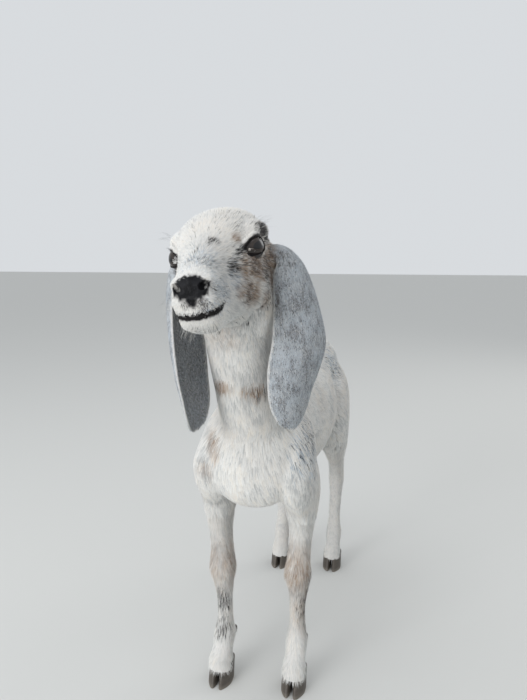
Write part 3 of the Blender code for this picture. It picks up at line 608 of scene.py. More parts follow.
def lid_line(side, widen_upper, widen_lower, lift, steps=48):
    """The line along the edge of the two lids, lifted off the eyeball by this much."""
    places = []
    for k in range(steps):
        angle = 2 * math.pi * k / steps
        widen = widen_upper if math.sin(angle) > 0 else widen_lower
        places.append(eye_centre(side) + lid_direction(side, angle, widen) * (EYEBALL_RADIUS + lift))
    return places


MOUTH = [
    # From the corner on one side round the front to the other: x, y, z in the head's frame
    (0.0222, -0.0595, -0.0430),
    (0.0214, -0.0645, -0.0450),
    (0.0202, -0.0705, -0.0462),
    (0.0182, -0.0765, -0.0476),
    (0.0110, -0.0848, -0.0512),
    (0.0000, -0.0885, -0.0525),
    (-0.0110, -0.0848, -0.0512),
    (-0.0182, -0.0765, -0.0476),
    (-0.0202, -0.0705, -0.0462),
    (-0.0214, -0.0645, -0.0450),
    (-0.0222, -0.0595, -0.0430),
]
NOSTRIL = [
    # The round lower part, then the slit that runs up and out from it
    ((0.0118, -0.0860, -0.0285), (0.0032, 0.0060, 0.0042), math.radians(30)),
    ((0.0150, -0.0835, -0.0250), (0.0018, 0.0060, 0.0055), math.radians(50)),
]
HEAD_SWELLS = [
    # Bone under the eye, hollow of the cheek, nostril wing, upper lip, lower lip, brow
    ((0.036, -0.018, -0.016), (0.012, 0.020, 0.008), 0.0022),
    ((0.027, -0.040, -0.020), (0.010, 0.018, 0.010), -0.0022),
    ((0.0165, -0.080, -0.0235), (0.007, 0.009, 0.007), 0.0030),
    ((0.0170, -0.078, -0.0405), (0.010, 0.014, 0.0060), 0.0022),
    ((0.0140, -0.074, -0.0620), (0.010, 0.012, 0.0060), 0.0018),
    ((0.030, 0.004, 0.019), (0.012, 0.014, 0.008), 0.0018),
]
HEAD_DEPTH = 0.0015


def make_head():
    skull = trunk("skull", [(-f, *rest) for f, *rest in HEAD], Vector((0, 0, 0)))
    pieces = [skull]
    for side in (-1, 1):
        out = eye_axes(side)[0]
        pieces.append(ball("orbit", eye_centre(side) - out * 0.0030, (0.0160, 0.0185, 0.0160)))
        pieces.append(ball("brow", Vector((side * 0.0345, 0.0135, 0.0150)), (0.0165, 0.0215, 0.0130)))
        pieces.append(ball("ear_boss", Vector((side * 0.040, 0.036, -0.010)), (0.0150, 0.0150, 0.0165)))
        # The flesh behind the jaw leans inwards and back, into the neck
        lean = Matrix.Rotation(side * math.radians(10), 3, "Y") @ Matrix.Rotation(math.radians(15), 3, "X")
        jaw_root = Vector((side * 0.0265, 0.040, -0.050))
        pieces.append(ball("parotid", jaw_root, (0.0160, 0.0215, 0.0480), lean))
        pieces.append(ball("cheek", Vector((side * 0.0245, 0.015, -0.030)), (0.0205, 0.032, 0.029)))
    pieces.append(ball("throat", Vector((0, 0.012, -0.052)), (0.026, 0.040, 0.022)))
    head = fused("head_form", pieces, 0.0010, 26)
    for side in (-1, 1):
        for (x, y, z), reach, amount in HEAD_SWELLS:
            swell(head, (side * x, y, z), reach, amount)
    swell(head, (0, -0.046, 0.007), (0.014, 0.026, 0.012), 0.0022)
    points = read(head)
    # The nose pad and lips carry no coat, so the skin comes up to the surface there
    bare = np.exp(-2 * np.linalg.norm((points - (0, -0.087, -0.032)) / (0.020, 0.016, 0.016), axis=1) ** 2)
    write(head, points - read(head, "normal") * (HEAD_DEPTH * (1 - 0.8 * bare))[:, None])
    lids = [
        tube("lids", lid_line(side, 1.07, 1.05, 0.0006), [0.0013] * 48, True)
        for side in (1, -1)
    ]
    for side in (1, -1):
        # The fold that the upper lid makes over the eye
        fold = [p for k, p in enumerate(lid_line(side, 1.42, 1.0, 0.0018)) if 2 <= k <= 21]
        radii = [0.0017 * math.sin(math.pi * (k + 0.5) / len(fold)) + 0.0002 for k in range(len(fold))]
        lids.append(tube("fold", fold, radii))
    head = fused("head_form", [head, *lids], 0.0009, 4)
    head.data.transform(HEAD_PLACE)
    return head


head = make_head()
print("head's form:", triangles(head), "triangles")

# %% [markdown]
# ## The ears
#
# The ears of this breed are long leaves, curled almost into a tube where they leave the skull and open to a
# shallow cup below. They hang by their own weight. Each is lofted from a table of widths and curls as two
# walls, an outer and an inner one, that meet in a rounded edge.

# %% Ear tables
# The leaf's width and its curl in degrees, from the root to the tip
EAR_LEAF = [
    (0.036, 275), (0.047, 235), (0.054, 200), (0.060, 174), (0.066, 150), (0.071, 134), (0.076, 120),
    (0.078, 110), (0.076, 99), (0.070, 90), (0.062, 84), (0.050, 77), (0.036, 72), (0.012, 70),
]
# Outward, backward and down from the root, then which way the outer face looks, from straight ahead
EAR_HANG = {
    1: [
        (-0.008, 0.000, -0.002, 104), (0.010, 0.002, -0.001, 94), (0.021, 0.004, 0.006, 78),
        (0.028, 0.004, 0.018, 62), (0.032, 0.004, 0.038, 50), (0.0355, 0.004, 0.062, 44),
        (0.038, 0.003, 0.088, 41), (0.0375, 0.003, 0.108, 42), (0.0325, 0.003, 0.131, 46),
        (0.0290, 0.003, 0.150, 52), (0.0270, 0.003, 0.166, 55), (0.0255, 0.003, 0.178, 57),
        (0.0245, 0.003, 0.186, 58), (0.0240, 0.003, 0.191, 58),
    ],
    -1: [
        (-0.008, 0.000, -0.002, 104), (0.007, 0.003, -0.001, 104), (0.014, 0.006, 0.006, 103),
        (0.0175, 0.007, 0.018, 102), (0.0195, 0.008, 0.038, 101), (0.019, 0.009, 0.062, 100),
        (0.0168, 0.010, 0.088, 99), (0.0148, 0.012, 0.108, 98), (0.0112, 0.013, 0.131, 97),
        (0.0066, 0.014, 0.150, 97), (0.003, 0.014, 0.166, 97), (0.0005, 0.014, 0.178, 97),
        (-0.001, 0.014, 0.186, 97), (-0.002, 0.014, 0.191, 97),
    ],
}
EAR_SKIN = 0.0018


def ear_leaf(side, steps=5, across=44):
    """Rows of places on the ear's middle layer, with the direction out of its outer face at each."""
    root = on_head((side * EAR_ROOT.x, EAR_ROOT.y, EAR_ROOT.z))
    table = eased([(*hang, *leaf) for hang, leaf in zip(EAR_HANG[side], EAR_LEAF, strict=True)], steps)
    ridge = [root + Vector((side * outward, back, -drop)) for outward, back, drop, *_ in table]
    along = np.gradient(np.array(ridge), axis=0)
    rows = []
    for middle, way, (*_, azimuth, width, curl) in zip(ridge, along, table, strict=True):
        way = Vector(way).normalized()
        face = math.radians(azimuth)
        fore = Vector((-side * math.cos(face), -math.sin(face), 0))
        fore = (fore - fore.dot(way) * way).normalized()
        out = fore.cross(way) * side
        curl = math.radians(curl)
        radius = (width - 0.002) / curl
        row = []
        for k in range(across + 1):
            angle = curl * (k / across - 0.5)
            place = middle + out * (radius * (math.cos(angle) - 1)) - fore * (radius * math.sin(angle))
            row.append((place, out * math.cos(angle) - fore * math.sin(angle)))
        rows.append(row)
    return rows


def make_ear(side):
    rings = []
    for row in ear_leaf(side):
        outer = [p + n * (EAR_SKIN / 2) for p, n in row]
        inner = [p - n * (EAR_SKIN / 2) for p, n in row]
        first = row[0][0] + (row[0][0] - row[1][0]).normalized() * EAR_SKIN * 0.4
        last = row[-1][0] + (row[-1][0] - row[-2][0]).normalized() * EAR_SKIN * 0.4
        rings.append([*outer, last, *inner[::-1], first])
    return skin_rings("ear_form", rings)


ears = {side: make_ear(side) for side in (1, -1)}
print("ears:", [triangles(ear) for ear in ears.values()], "triangles")

# %% [markdown]
# ## One skin
#
# The three forms become one closed surface. The head runs down to a plane in the neck, and the body's neck
# runs on a little way inside it, a fraction of a millimetre smaller, so that the union has one clean
# meeting line, which the coat covers. The eye openings, nostrils and mouth are cut last.

# %% Join head, neck, body and ears
NECK_CUT = Vector((-0.003, -0.196, 0.487)) + SHIFT
NECK_WAY = Vector((0, -0.42, 0.91)).normalized()


def past_cut(points):
    """How far each place lies beyond the cut in the neck, towards the head."""
    return (points - np.array(NECK_CUT)) @ np.array(NECK_WAY)


def neck_of_head():
    """The upper neck, grown onto the head, so that throat and jaw flow into each other."""
    neck = limb("upper_neck", NECK)
    applied(neck, "SUBSURF", levels=1, render_levels=1)
    points = read(neck)
    write(neck, points - read(neck, "normal") * 0.0040)
    return neck


def soften_throat(piece):
    """Smooths only under the jaw and on the nape, where the head flows into the neck."""
    group = piece.vertex_groups.new(name="throat")
    q = in_head(read(piece))
    nape = ramp(q[:, 1], 0.036, 0.058) * (1 - ramp(np.abs(q[:, 0]), 0.024, 0.036))
    weights = np.maximum(ramp(q[:, 1] * 0.6 - q[:, 2], 0.062, 0.088), nape)
    for i in np.flatnonzero(weights > 0.01):
        group.add([int(i)], float(weights[i]), "REPLACE")
    applied(piece, "SMOOTH", factor=0.5, iterations=160, vertex_group="throat")
    piece.vertex_groups.clear()


head = fused("head_form", [head, neck_of_head()], 0.0009, 6)
soften_throat(head)
half_plane(head, NECK_CUT, NECK_WAY)
half_plane(body, NECK_CUT + NECK_WAY * 0.012, -NECK_WAY)
points = read(body)
beyond = ramp(past_cut(points), -0.004, 0.001)
write(body, points - read(body, "normal") * (beyond * 0.0009)[:, None])
applied(head, "DECIMATE", ratio=76000 / triangles(head))
applied(body, "DECIMATE", ratio=88000 / triangles(body))
head_form, body_form = head.data.copy(), body.data.copy()
ear_forms = {side: ear.data.copy() for side, ear in ears.items()}

for side in (1, -1):
    opening = eye_opening(side)
    opening.data.transform(HEAD_PLACE)
    cut(head, opening)
    cut(head, ball("socket", on_head(eye_centre(side)), (EYEBALL_RADIUS + 0.0002,) * 3, segments=64))
    for place, radii, lean in NOSTRIL:
        tilt = Matrix.Rotation(side * lean, 3, "Y") @ Matrix.Rotation(side * math.radians(-25), 3, "Z")
        nostril = ball("nostril", Vector((side * place[0], place[1], place[2])), radii, tilt, 24)
        nostril.data.transform(HEAD_PLACE)
        cut(head, nostril)
head_surface = tree_of(head_form)
lip_line = [head_surface.find_nearest(on_head(p))[0] for p in eased(MOUTH, 6)]
radii = [0.0011 * min(1, 0.4 + 0.15 * min(k, len(lip_line) - 1 - k)) for k in range(len(lip_line))]
cut(head, tube("mouth", lip_line, radii))
skin = head
for other in (body, *ears.values()):
    cut(skin, other, "UNION")
skin.name = "skin"
print("skin:", triangles(skin), "triangles")

# %% [markdown]
# ## Where the colours are
#
# The kid is nearly white. Black flecks are scattered on the forehead and bridge, the nose pad, lips and eye
# rims are black, there is brown under the near eye, tan in front of it, on the chest and behind the elbows,
# and the ears are a blue roan of white and black hairs. On a real coat each hair has one colour, and
# a patch fades where fewer hairs carry it. So a patch here is a soft ball of chance, and each tuft throws a
# dice once. The places are named spots that are sighted through the camera onto the skin, so they stay on
# the animal from every side.
# A few spots are painted shade, not hair colour: in the ear's two folds, down the muzzle side, on the jaw's
# edge and under the jaw.

# %% A smooth noise and the table of spots
def noise(points, size, seed):
    """Smooth noise from 0 to 1 at each point, with features of about this size."""
    q = points / size + seed * 7.31
    cell = np.floor(q).astype(np.int64)
    f = q - cell
    f = f * f * (3 - 2 * f)
    total = np.zeros(len(points))
    for corner in range(8):
        step = np.array([corner & 1, corner >> 1 & 1, corner >> 2 & 1])
        x, y, z = (cell + step).T
        h = (x * 374761393 + y * 668265263 + z * 1442695041 + seed * 97531) & 0xFFFFFFFF
        h = ((h ^ (h >> 13)) * 1274126177) & 0xFFFFFFFF
        h = (h ^ (h >> 16)) & 0xFFFF
        total += h / 65535 * np.prod(np.where(step, f, 1 - f), axis=1)
    return total


everything = tree_of(skin.data)


def sighted(x, y):
    """The place on the skin that the camera sees at a pixel of the photograph."""
    place = everything.ray_cast(CAMERA_PLACE, ray_through(x, y))[0]
    return place if place is not None else CAMERA_PLACE + ray_through(x, y) * 0.62


BLACK, GREY, TAN = 0, 1, 2
SIGHTED_SPOTS = [
    # what it is, colour, where the camera sees it, half width and half height in pixels, strength
    ("forehead streaks", BLACK, 210, 243, 6, 5, 0.60),
    ("bridge ticking", BLACK, 205, 262, 9, 8, 0.34),
    ("bridge ticking, far side", BLACK, 190, 262, 6, 8, 0.22),
    ("crown flecks", BLACK, 222, 218, 10, 6, 0.14),
    ("temple flecks", BLACK, 236, 229, 6, 6, 0.16),
    ("near brow", BLACK, 261, 228, 6, 9, 1.30),
    ("near brow, rear", BLACK, 265, 237, 4, 7, 1.10),
    ("inner corner", BLACK, 243, 248, 5, 4, 1.30),
    ("tear mark", BLACK, 237, 255, 5, 6, 1.10),
    ("tear mark, end", BLACK, 231, 266, 6, 9, 0.95),
    ("cheek, grey", GREY, 232, 276, 9, 14, 0.75),
    ("under the near eye", BLACK, 252, 263, 11, 9, 0.62),
    ("under the near eye, brown", TAN, 254, 266, 14, 15, 1.60),
    ("under the near eye, forward", TAN, 245, 266, 9, 13, 1.40),
    ("under the near eye, dark hairs", BLACK, 244, 262, 8, 9, 0.42),
    ("under it, further back", BLACK, 264, 270, 6, 14, 0.60),
    ("cheek, brown", TAN, 249, 292, 7, 15, 1.25),
    ("cheek, brown, forward", TAN, 240, 290, 9, 10, 0.80),
    ("cheek, dark", BLACK, 247, 291, 7, 13, 0.36),
    ("in front of the near eye", TAN, 234, 240, 6, 6, 0.95),
    ("behind the near eye", BLACK, 270, 250, 4, 9, 0.80),
    ("behind the near eye, brown", TAN, 268, 262, 8, 20, 1.40),
    ("jaw edge", TAN, 264, 296, 6, 15, 0.75),
    # Painted shade on the shaded side of the jaw
    ("jaw edge, painted shade", BLACK, 266, 292, 5, 14, 0.25),
    ("bridge, grey", GREY, 201, 260, 17, 16, 0.50),
    # Painted shade down the side of the muzzle
    ("muzzle side, painted shade", GREY, 221, 289, 15, 14, 0.62),
    ("muzzle side, ticking", BLACK, 220, 290, 12, 11, 0.16),
    ("lip and chin, grey", GREY, 214, 306, 16, 9, 0.45),
    ("far eye", BLACK, 172, 256, 4, 7, 0.80),
    ("near lip", BLACK, 200, 304, 9, 6, 0.95),
    ("near lip, edge", BLACK, 212, 311, 6, 4, 0.55),
    ("far lip", BLACK, 186, 303, 5, 5, 0.60),
    ("beside the nostril", BLACK, 213, 288, 3, 5, 0.70),
    ("chin", BLACK, 197, 330, 9, 4, 0.22),
    # Painted shade under the jaw, as a warm tint
    ("throat", TAN, 222, 333, 20, 12, 0.35),
    ("collar, far side", TAN, 221, 378, 13, 6, 1.20),
    ("collar, near side", TAN, 254, 383, 12, 7, 1.20),
    ("chest whorl", TAN, 219, 438, 6, 14, 0.80),
    ("chest whorl, far side", TAN, 208, 462, 7, 10, 0.50),
    ("collar, dark hairs", BLACK, 258, 384, 9, 5, 0.25),
    ("ear, hair of the root", BLACK, 281, 256, 7, 10, 1.00),
    # Painted shadow in the fold where the ear's front edge curls in
    ("ear, painted shadow of the front fold", BLACK, 277, 302, 4, 21, 1.30),
    # Painted shade on the folded-back rear of the ear
    ("ear, painted shade of the rear fold", BLACK, 306, 366, 5, 24, 0.75),
    ("shoulder roan", GREY, 303, 445, 17, 24, 0.55),
    ("shoulder flecks", BLACK, 304, 440, 14, 20, 0.17),
]
spot_rows = []
for title, kind, px, py, wide, tall, strength in SIGHTED_SPOTS:
    place = sighted(px, py)
    scale = (place - CAMERA_PLACE).dot(VIEW.col[1]) / PHOTO_FOCAL
    turn = np.array([VIEW.col[0], VIEW.col[2], VIEW.col[1]])
    size = np.array([wide, tall, 1.3 * max(wide, tall)]) * scale
    spot_rows.append((kind, np.array(place), turn, size, strength))


def spot(kind, place, size, strength):
    """A patch given straight in the kid's frame, for what the photograph doesn't show."""
    spot_rows.append((kind, np.array(Vector(place) + SHIFT), np.eye(3), np.array(size), strength))


# The knees and the black marks on the forelegs, the elbows, the hips and the unseen side
NEAR_SHIN = (FORELEG_X + 0.008, FORELEG_Y + 0.012, KNEE_HEIGHT - 0.030)
GIVEN_SPOTS = [
    (TAN, (-FORELEG_X, FORELEG_Y - 0.010, KNEE_HEIGHT + 0.012), (0.030, 0.026, 0.036), 0.75),
    (TAN, (FORELEG_X, FORELEG_Y - 0.010, KNEE_HEIGHT + 0.012), (0.030, 0.026, 0.036), 0.75),
    (BLACK, NEAR_SHIN, (0.014, 0.018, 0.040), 0.95),
    (TAN, NEAR_SHIN, (0.020, 0.024, 0.050), 0.80),
    (BLACK, (-FORELEG_X, FORELEG_Y - 0.026, KNEE_HEIGHT - 0.044), (0.016, 0.014, 0.018), 0.90),
    (BLACK, (-FORELEG_X, FORELEG_Y - 0.026, KNEE_HEIGHT - 0.080), (0.014, 0.014, 0.014), 0.80),
    (TAN, (0.056, -0.060, 0.268), (0.030, 0.030, 0.026), 0.75),
    (TAN, (-0.056, -0.060, 0.268), (0.030, 0.030, 0.026), 0.75),
    (GREY, (-0.070, 0.030, 0.350), (0.030, 0.036, 0.030), 0.65),
    (BLACK, (-0.070, 0.026, 0.356), (0.022, 0.028, 0.024), 0.18),
    (GREY, (0.060, 0.110, 0.400), (0.030, 0.040, 0.030), 0.60),
    (BLACK, (0.062, 0.108, 0.396), (0.024, 0.030, 0.024), 0.18),
    (BLACK, (-0.048, 0.180, 0.180), (0.014, 0.020, 0.022), 0.70),
    (BLACK, (0.0, 0.262, 0.372), (0.016, 0.012, 0.022), 0.55),
]
for given in GIVEN_SPOTS:
    spot(*given)
# The far side of the face wears what the near side does, a little less of it
for kind, place, reach, strength in (
    (TAN, (-0.040, -0.016, -0.016), 0.011, 0.7),
    (BLACK, (-0.036, -0.026, -0.028), 0.009, 0.4),
    (BLACK, (-0.040, 0.010, 0.012), 0.008, 0.7),
):
    spot(kind, on_head(place) - SHIFT, (reach, reach, reach), strength)
print(len(spot_rows), "spots")

# %% From places to chances of colour
ear_trees = {side: tree_of(mesh) for side, mesh in ear_forms.items()}
ear_rows = {side: ear_leaf(side, 3, 22) for side in (1, -1)}
ear_places = [
    (place, k / 22, i / (len(rows) - 1), out)
    for rows in ear_rows.values()
    for i, row in enumerate(rows)
    for k, (place, out) in enumerate(row)
]
ear_tree = KDTree(len(ear_places))
for i, (place, *_) in enumerate(ear_places):
    ear_tree.insert(place, i)
ear_tree.balance()


def place_on_ear(points, ups):
    """For each point: how far across and down the ear's leaf, each from 0 to 1, and 1 on its inner face."""
    found = np.zeros((len(points), 3))
    for i, (p, up) in enumerate(zip(points, ups, strict=True)):
        _, across, down, out = ear_places[ear_tree.find(Vector(p))[1]]
        found[i] = (across, down, out.dot(Vector(up)) < 0)
    return found


def colour_chances(points, on_ear, ups):
    """For each place, the chance that a hair there is black, grey or tan."""
    points = np.asarray(points, float)
    chances = np.zeros((len(points), 3))
    ragged = noise(points, 0.0035, 3) * 0.6 + noise(points, 0.0014, 4) * 0.4
    broad = noise(points, 0.011, 5)
    for kind, place, turn, size, strength in spot_rows:
        away = np.linalg.norm((points - place) @ turn.T / size, axis=1)
        chance = strength * np.clip(1.45 - away, 0, 1) * np.clip(ragged * 2.2 - 0.25, 0, 1.2)
        chances[:, kind] = np.maximum(chances[:, kind], chance)
    # A few stray dark flecks all over the head
    head_near = 1 - ramp(np.linalg.norm(points - np.array(EYE_MIDPOINT), axis=1), 0.06, 0.10)
    stray = np.clip(noise(points, 0.0028, 6) * 3.2 - 2.25, 0, 1) * head_near * 0.55
    chances[:, BLACK] = np.maximum(chances[:, BLACK], stray)
    # The ears are roan: mostly grey hairs, with black ones in fine streaks
    ticking = noise(points * (1, 1, 0.7), 0.0009, 7) * 0.55 + noise(points, 0.0070, 8) * 0.45
    chances[:, GREY] = np.where(on_ear, 0.86 + 0.3 * (broad - 0.5), chances[:, GREY])
    ticked = np.maximum(chances[:, BLACK] * 0.6, np.clip(ticking * 1.8 - 0.67, 0.08, 0.60))
    chances[:, BLACK] = np.where(on_ear, ticked, chances[:, BLACK])
    if on_ear.any():
        # Inside the ear the hair is painted darker, as painted shade inside the curled ear, and its edge is
        # pale
        across, down, inner = place_on_ear(points[on_ear], ups[on_ear]).T
        rim = 1 - ramp(np.minimum(np.minimum(across, 1 - across), (1 - down) * 2), 0.02, 0.05)
        chances[on_ear, BLACK] = np.maximum(chances[on_ear, BLACK], 0.46 * inner) * (1 - 0.9 * rim)
        chances[on_ear, GREY] *= 1 - 0.75 * rim
    # A faint cream wash that comes and goes
    wash = 0.12 * ramp(noise(points, 0.045, 9), 0.35, 0.8)
    root_near = 1 - ramp(EYE_MIDPOINT.z - points[:, 2], -0.002, 0.022)
    chances[:, TAN] = np.where(on_ear, chances[:, TAN] * root_near, np.maximum(chances[:, TAN], wash))
    return np.clip(chances, 0, 1)


def near_ear(points, reach=0.0006):
    """Which places lie on an ear's skin, and not on the head."""
    found = np.zeros(len(points), bool)
    ears_box = np.array([[min(v.co[i] for v in m.vertices) for i in range(3)] for m in ear_forms.values()])
    for i, p in enumerate(points):
        if p[2] < ears_box[:, 2].min() - 0.01 or p[1] < ears_box[:, 1].min() - 0.01:
            continue
        for tree in ear_trees.values():
            if tree.find_nearest(Vector(p), reach)[0] is not None:
                found[i] = True
    return found


# %% [markdown]
# ## Bare places
#
# The nose pad, the lips and the rims of the lids carry no hair. They are masks on the skin: how near each
# place is to the mouth's line, to the edge of an eye's opening, and to the pad of the nose.

# %% Masks of the nose pad, lips and lids
def nose_mask(points):
    """1 on the pad between and above the nostrils, down to the cleft of the lip."""
    q = in_head(points)
    pad = np.linalg.norm((q - (0, -0.0885, -0.0285)) / (0.0190, 0.0125, 0.0112), axis=1)
    cleft = np.linalg.norm((q - (0, -0.090, -0.0385)) / (0.0052, 0.020, 0.0075), axis=1)
    edge = (noise(points, 0.0018, 11) - 0.5) * 0.34
    return np.maximum(1 - ramp(pad + edge, 0.88, 1.12), 1 - ramp(cleft + edge, 0.80, 1.15))


lid_edges = {side: [on_head(p) for p in lid_line(side, 1.04, 1.04, 0.0006)] for side in (1, -1)}


def distance_to(points, line, thinning=None):
    """The distance from each point to the nearest place of a line, with more added where it is thin."""
    thinning = np.zeros(len(line)) if thinning is None else thinning
    tree = KDTree(len(line))
    for i, p in enumerate(line):
        tree.insert(p, i)
    tree.balance()
    found = [tree.find(Vector(p)) for p in points]
    return np.array([away + thinning[i] for _, i, away in found])


def bare_masks(points):
    """Nose pad, lips and lid rims, each from 0 to 1, for places on the head."""
    points = np.asarray(points, float)
    masks = np.zeros((len(points), 3))
    close = np.linalg.norm(points - np.array(EYE_MIDPOINT), axis=1) < 0.14
    near = points[close]
    masks[close, 0] = nose_mask(near)
    # The bare edge of the lower lip is broad in front and runs out at the corners
    pairs = zip(lip_line, lip_line[1:], strict=False)
    fine_lips = [a.lerp(b, t) for a, b in pairs for t in (0.25, 0.5, 0.75, 1.0)]
    share = np.linspace(0, 1, len(fine_lips))
    fullness = ramp(np.minimum(share, 1 - share), 0.0, 0.30)
    lowered = [p - HEAD_TURN @ UP * (0.0036 * f) for p, f in zip(fine_lips, fullness, strict=True)]
    thin = 0.0012 * (1 - fullness)
    edge = (noise(near, 0.0016, 12) - 0.5) * 0.0014
    lip = np.minimum(distance_to(near, fine_lips, thin) + 0.0010, distance_to(near, lowered, thin))
    masks[close, 1] = 1 - ramp(lip + edge, 0.0021, 0.0032)
    rim = np.minimum(distance_to(near, lid_edges[1]), distance_to(near, lid_edges[-1]))
    masks[close, 2] = 1 - ramp(rim + edge, 0.0021, 0.0032)
    return masks


# %% Write the marks onto the skin
def put(mesh, name, values):
    """Stores a vector at each vertex, which materials read by its name."""
    layer = mesh.attributes.new(name, "FLOAT_VECTOR", "POINT")
    layer.data.foreach_set("vector", np.asarray(values, np.float32).ravel())


skin_points = read(skin)
skin_on_ear = near_ear(skin_points)
skin_marks = colour_chances(skin_points, skin_on_ear, read(skin, "normal"))
put(skin.data, "marks", skin_marks)
put(skin.data, "bare", bare_masks(skin_points))
print("skin marks: mean black, grey and tan", skin_marks.mean(axis=0).round(3))
print("places of the skin that lie on the ears:", int(skin_on_ear.sum()))

# %% [markdown]
# ## Colours of hair and skin
#
# One node group turns the marks into the colour of hair. The coat uses it, and so does the skin, through
# a dulling mix, so both carry the same markings. Every hair is painted darker and warmer towards its root,
# as painted shade in the gaps between tufts, and every tuft has its own tint, the greyest a painted shade.


# %% Node group: hair colours
def mix_colour(tree, factor, first, second):
    """Mixes two colours, or sockets that carry them."""
    node = tree.nodes.new("ShaderNodeMix")
    node.data_type = "RGBA"
    for slot, value in ((0, factor), (6, first), (7, second)):
        if isinstance(value, (int, float)):
            node.inputs[slot].default_value = value
        elif isinstance(value, tuple):
            node.inputs[slot].default_value = (*value, 1)
        else:
            tree.links.new(value, node.inputs[slot])
    return node.outputs[2]


def spread(tree, value, low, high, to_low=0.0, to_high=1.0):
    """Stretches the values from low to high over a new range."""
    node = tree.nodes.new("ShaderNodeMapRange")
    for slot, number in ((1, low), (2, high), (3, to_low), (4, to_high)):
        node.inputs[slot].default_value = number
    tree.links.new(value, node.inputs[0])
    return node.outputs[0]


def split_up(tree, vector):
    """The three numbers of a vector, as sockets."""
    node = tree.nodes.new("ShaderNodeSeparateXYZ")
    tree.links.new(vector, node.inputs[0])
    return node.outputs


def mottle(tree, place, scale, detail):
    node = tree.nodes.new("ShaderNodeTexNoise")
    node.inputs["Scale"].default_value = scale
    node.inputs["Detail"].default_value = detail
    tree.links.new(place, node.inputs["Vector"])
    return node.outputs["Fac"]


def raise_grain(tree, shader, height, strength, distance):
    """A fine relief in the shader's surface."""
    bump = tree.nodes.new("ShaderNodeBump")
    bump.inputs["Strength"].default_value = strength
    bump.inputs["Distance"].default_value = distance
    tree.links.new(height, bump.inputs["Height"])
    tree.links.new(bump.outputs["Normal"], shader.inputs["Normal"])


# The root colour of white hair is painted shade, for the shadow in the gaps between tufts
WHITE_TIP, WHITE_ROOT_SHADE = (0.79, 0.79, 0.77), (0.46, 0.44, 0.41)
CREAM, STRAND_SHADE_GREY = (0.78, 0.70, 0.58), (0.47, 0.48, 0.475)
ROAN_LIGHT, ROAN_DARK = (0.57, 0.63, 0.68), (0.25, 0.29, 0.33)
TAN_LIGHT, TAN_DARK = (0.39, 0.27, 0.18), (0.13, 0.080, 0.055)
BLACK_HAIR = (0.016, 0.014, 0.014)


def make_hair_colours():
    tree = bpy.data.node_groups.new("hair_colours", "ShaderNodeTree")
    tree.interface.new_socket(name="Marks", in_out="INPUT", socket_type="NodeSocketVector")
    tree.interface.new_socket(name="Strand", in_out="INPUT", socket_type="NodeSocketVector")
    tree.interface.new_socket(name="Colour", in_out="OUTPUT", socket_type="NodeSocketColor")
    into, out = tree.nodes.new("NodeGroupInput"), tree.nodes.new("NodeGroupOutput")
    is_black, is_grey, is_tan = split_up(tree, into.outputs["Marks"])
    along, tint, _ = split_up(tree, into.outputs["Strand"])
    # Painted shade: the white darkens towards the root, so the gaps between tufts look shadowed
    white = mix_colour(tree, spread(tree, along, 0.0, 0.85), WHITE_ROOT_SHADE, WHITE_TIP)
    white = mix_colour(tree, spread(tree, tint, 0.60, 1.0, 0.0, 0.34), white, CREAM)
    # Painted shade: the lowest tints turn the white to a neutral grey that stands for shadow between strands
    white = mix_colour(tree, spread(tree, tint, 0.0, 0.42, 0.90, 0.0), white, STRAND_SHADE_GREY)
    grey = mix_colour(tree, tint, ROAN_DARK, ROAN_LIGHT)
    tan = mix_colour(tree, tint, TAN_DARK, TAN_LIGHT)
    colour = mix_colour(tree, is_grey, white, grey)
    colour = mix_colour(tree, is_tan, colour, tan)
    colour = mix_colour(tree, is_black, colour, BLACK_HAIR)
    tree.links.new(colour, out.inputs["Colour"])
    return tree


hair_colours = make_hair_colours()


def attribute(tree, name):
    node = tree.nodes.new("ShaderNodeAttribute")
    node.attribute_name = name
    return node.outputs["Vector"]


def make_coat():
    coat, tree, shader = fresh("coat_hair")
    hair = tree.nodes.new("ShaderNodeGroup")
    hair.node_tree = hair_colours
    tree.links.new(attribute(tree, "marks"), hair.inputs["Marks"])
    tree.links.new(attribute(tree, "strand"), hair.inputs["Strand"])
    tree.links.new(hair.outputs["Colour"], shader.inputs["Base Color"])
    shader.inputs["Roughness"].default_value = 0.62
    shader.inputs["Specular IOR Level"].default_value = 0.20
    shader.inputs["Sheen Weight"].default_value = 0.12
    shader.inputs["Sheen Roughness"].default_value = 0.6
    return coat


coat_hair = make_coat()
print("hair material:", len(coat_hair.node_tree.nodes), "nodes")


